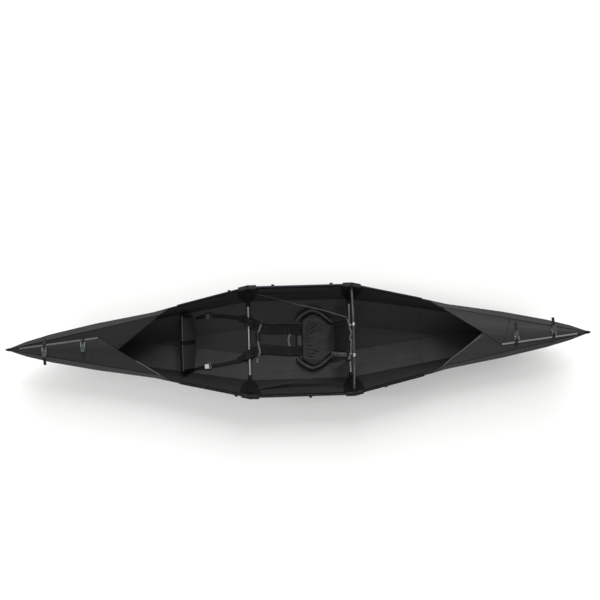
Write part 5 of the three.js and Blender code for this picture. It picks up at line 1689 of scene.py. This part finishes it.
# Places of the lacing hooks along each gunwale
LACING_HOOKS = {
    "starboard": (-0.705, -0.445, -0.17, 0.20, 0.735),
    "port": (-0.69, -0.42, 0.05, 0.53, 0.77),
}
HOOK_BLOCK = (0.022, 0.007, 0.014)
# How the hook's outer end is drawn out: out, up, and the share of its size that is left
HOOK_DRAWS = ((0.004, 0.0, 0.8), (0.003, 0.003, 0.85))
GUNWALE_HEIGHT = 0.296
# The gunwale runs straight this far from the boat's middle, and its ends slope in
GUNWALE_MID_END = 0.3123
GUNWALE_MID_Y = 0.3502
GUNWALE_END_FROM = (0.3458, 0.3482)
GUNWALE_END_TO = (0.7764, 0.2352)
GUNWALE_SLOPE = 0.109 / 0.4306
RIVET_PLACES = ((RIB_X - 0.03, 0.340), (RIB_X + 0.03, 0.334))
RIVET_RADIUS = 0.0042
RIVET_HEIGHT = 0.0018
# How a rivet's top is drawn in: up in shares of its height, and the share of its radius that is left
RIVET_DRAWS = ((0.35, 0.84), (0.2, 0.5))


class KAYAK_OT_gunwale_fittings(bpy.types.Operator):
    """Models the lacing hooks on the outside of the gunwales and the rivets of the knuckles."""

    bl_idname = "kayak.gunwale_fittings"
    bl_label = "Gunwale fittings"

    def execute(self, context):
        hook = self.hook()
        copies = []
        for side, places in LACING_HOOKS.items():
            for i, x in enumerate(places):
                copies.append(copy_piece(hook, f"lacing_hook_{side}_{i}", self.on_gunwale(SIDES[side], x)))
        bpy.data.objects.remove(hook)
        finish(join(copies, "gunwale_hooks"), "hull", "nylon")
        finish(join(self.rivets(), "rivet_heads"), "hull", "dark_steel")
        return {"FINISHED"}

    def hook(self):
        """One lacing hook: a small block whose outer end is drawn out and turned up, then bevelled."""
        start_clean()
        bpy.ops.mesh.primitive_cube_add(size=1)
        hook = bpy.context.object
        hook.name = "lacing_hook"
        hook.data.transform(Matrix.Diagonal((*HOOK_BLOCK, 1)))
        for reach, lift, shrink in HOOK_DRAWS:
            outermost = max(polygon.center.y for polygon in hook.data.polygons)
            edit_faces(hook, lambda face: face.center.y == outermost)
            draw_out((0, reach, lift), (shrink, 1, shrink))
            end_edit()
        return apply_modifier(hook, "BEVEL", width=0.0012, segments=2, limit_method="ANGLE")

    def on_gunwale(self, sign, x):
        """Where a hook stands on the outside of a gunwale, turned with it."""
        y, slope = GUNWALE_MID_Y, 0.0
        if abs(x) >= GUNWALE_MID_END:
            (from_x, from_y), (to_x, to_y) = GUNWALE_END_FROM, GUNWALE_END_TO
            y = mix(from_y, to_y, (abs(x) - from_x) / (to_x - from_x))
            slope = -math.copysign(GUNWALE_SLOPE, x)
        # A port hook is turned right round, to look outward
        turn = sign * math.atan(slope) + (math.pi if sign < 0 else 0)
        place = Vector((x, sign * (y + 0.001), GUNWALE_HEIGHT))
        return Matrix.Translation(place) @ Matrix.Rotation(turn, 4, "Z")

    def rivets(self):
        surfaces = Surfaces(*[f"knuckle_{side}_{end}" for side in SIDES for end in ENDS])
        spots = [(i * x, j * y) for i in (-1, 1) for j in (-1, 1) for x, y in RIVET_PLACES]
        heads = []
        for i, (x, y) in enumerate(spots):
            z = surfaces.height(x, y, ABOVE_DECK)
            if z is not None:
                heads.append(self.rivet(f"rivet_{i}", Vector((x, y, z))))
        if not heads:
            raise RuntimeError("no rivet found its knuckle")
        return heads

    def rivet(self, name, centre):
        """A low domed head: a cylinder whose top is drawn in twice."""
        start_clean()
        bpy.ops.mesh.primitive_cylinder_add(vertices=18, radius=RIVET_RADIUS, depth=RIVET_HEIGHT)
        head = bpy.context.object
        head.name = name
        edit_faces(head, lambda face: face.normal.z > 0.9)
        for lift, shrink in RIVET_DRAWS:
            draw_out((0, 0, RIVET_HEIGHT * lift), (shrink, shrink, 1))
        end_edit()
        head.data.transform(Matrix.Translation(centre))
        return head


class KAYAK_PT_panel(bpy.types.Panel):
    """Lists the kayak's pieces in the sidebar."""

    bl_idname = "KAYAK_PT_panel"
    bl_label = "Folding kayak"
    bl_space_type = "VIEW_3D"
    bl_region_type = "UI"
    bl_category = "Kayak"

    def draw(self, context):
        for group in (context.scene.kayak_sizes, context.scene.kayak_studio):
            box = self.layout.box()
            for key in group.bl_rna.properties.keys():
                if key not in ("rna_type", "name"):
                    box.prop(group, key)
        for operator in OPERATORS:
            self.layout.operator(operator.bl_idname)


OPERATORS = (
    KAYAK_OT_studio,
    KAYAK_OT_node_finishes,
    KAYAK_OT_seat_pad,
    KAYAK_OT_seat_rims,
    KAYAK_OT_backrest,
    KAYAK_OT_back_band,
    KAYAK_OT_stays,
    KAYAK_OT_shoulder_straps,
    KAYAK_OT_sternum_strap,
    KAYAK_OT_haul_handle,
    KAYAK_OT_footrest_strap,
    KAYAK_OT_footrest_tethers,
    KAYAK_OT_fold_lines,
    KAYAK_OT_sheet_edges,
    KAYAK_OT_gunwale_fittings,
)
CLASSES = (KAYAK_PG_sizes, KAYAK_PG_studio, *OPERATORS, KAYAK_PT_panel)


def register():
    for kind in CLASSES:
        bpy.utils.register_class(kind)
    bpy.types.Scene.kayak_sizes = bpy.props.PointerProperty(type=KAYAK_PG_sizes)
    bpy.types.Scene.kayak_studio = bpy.props.PointerProperty(type=KAYAK_PG_studio)


def unregister():
    del bpy.types.Scene.kayak_studio
    del bpy.types.Scene.kayak_sizes
    for kind in reversed(CLASSES):
        bpy.utils.unregister_class(kind)


def main():
    register()
    for operator in OPERATORS:
        family, name = operator.bl_idname.split(".")
        getattr(getattr(bpy.ops, family), name)()


if __name__ == "__main__":
    main()
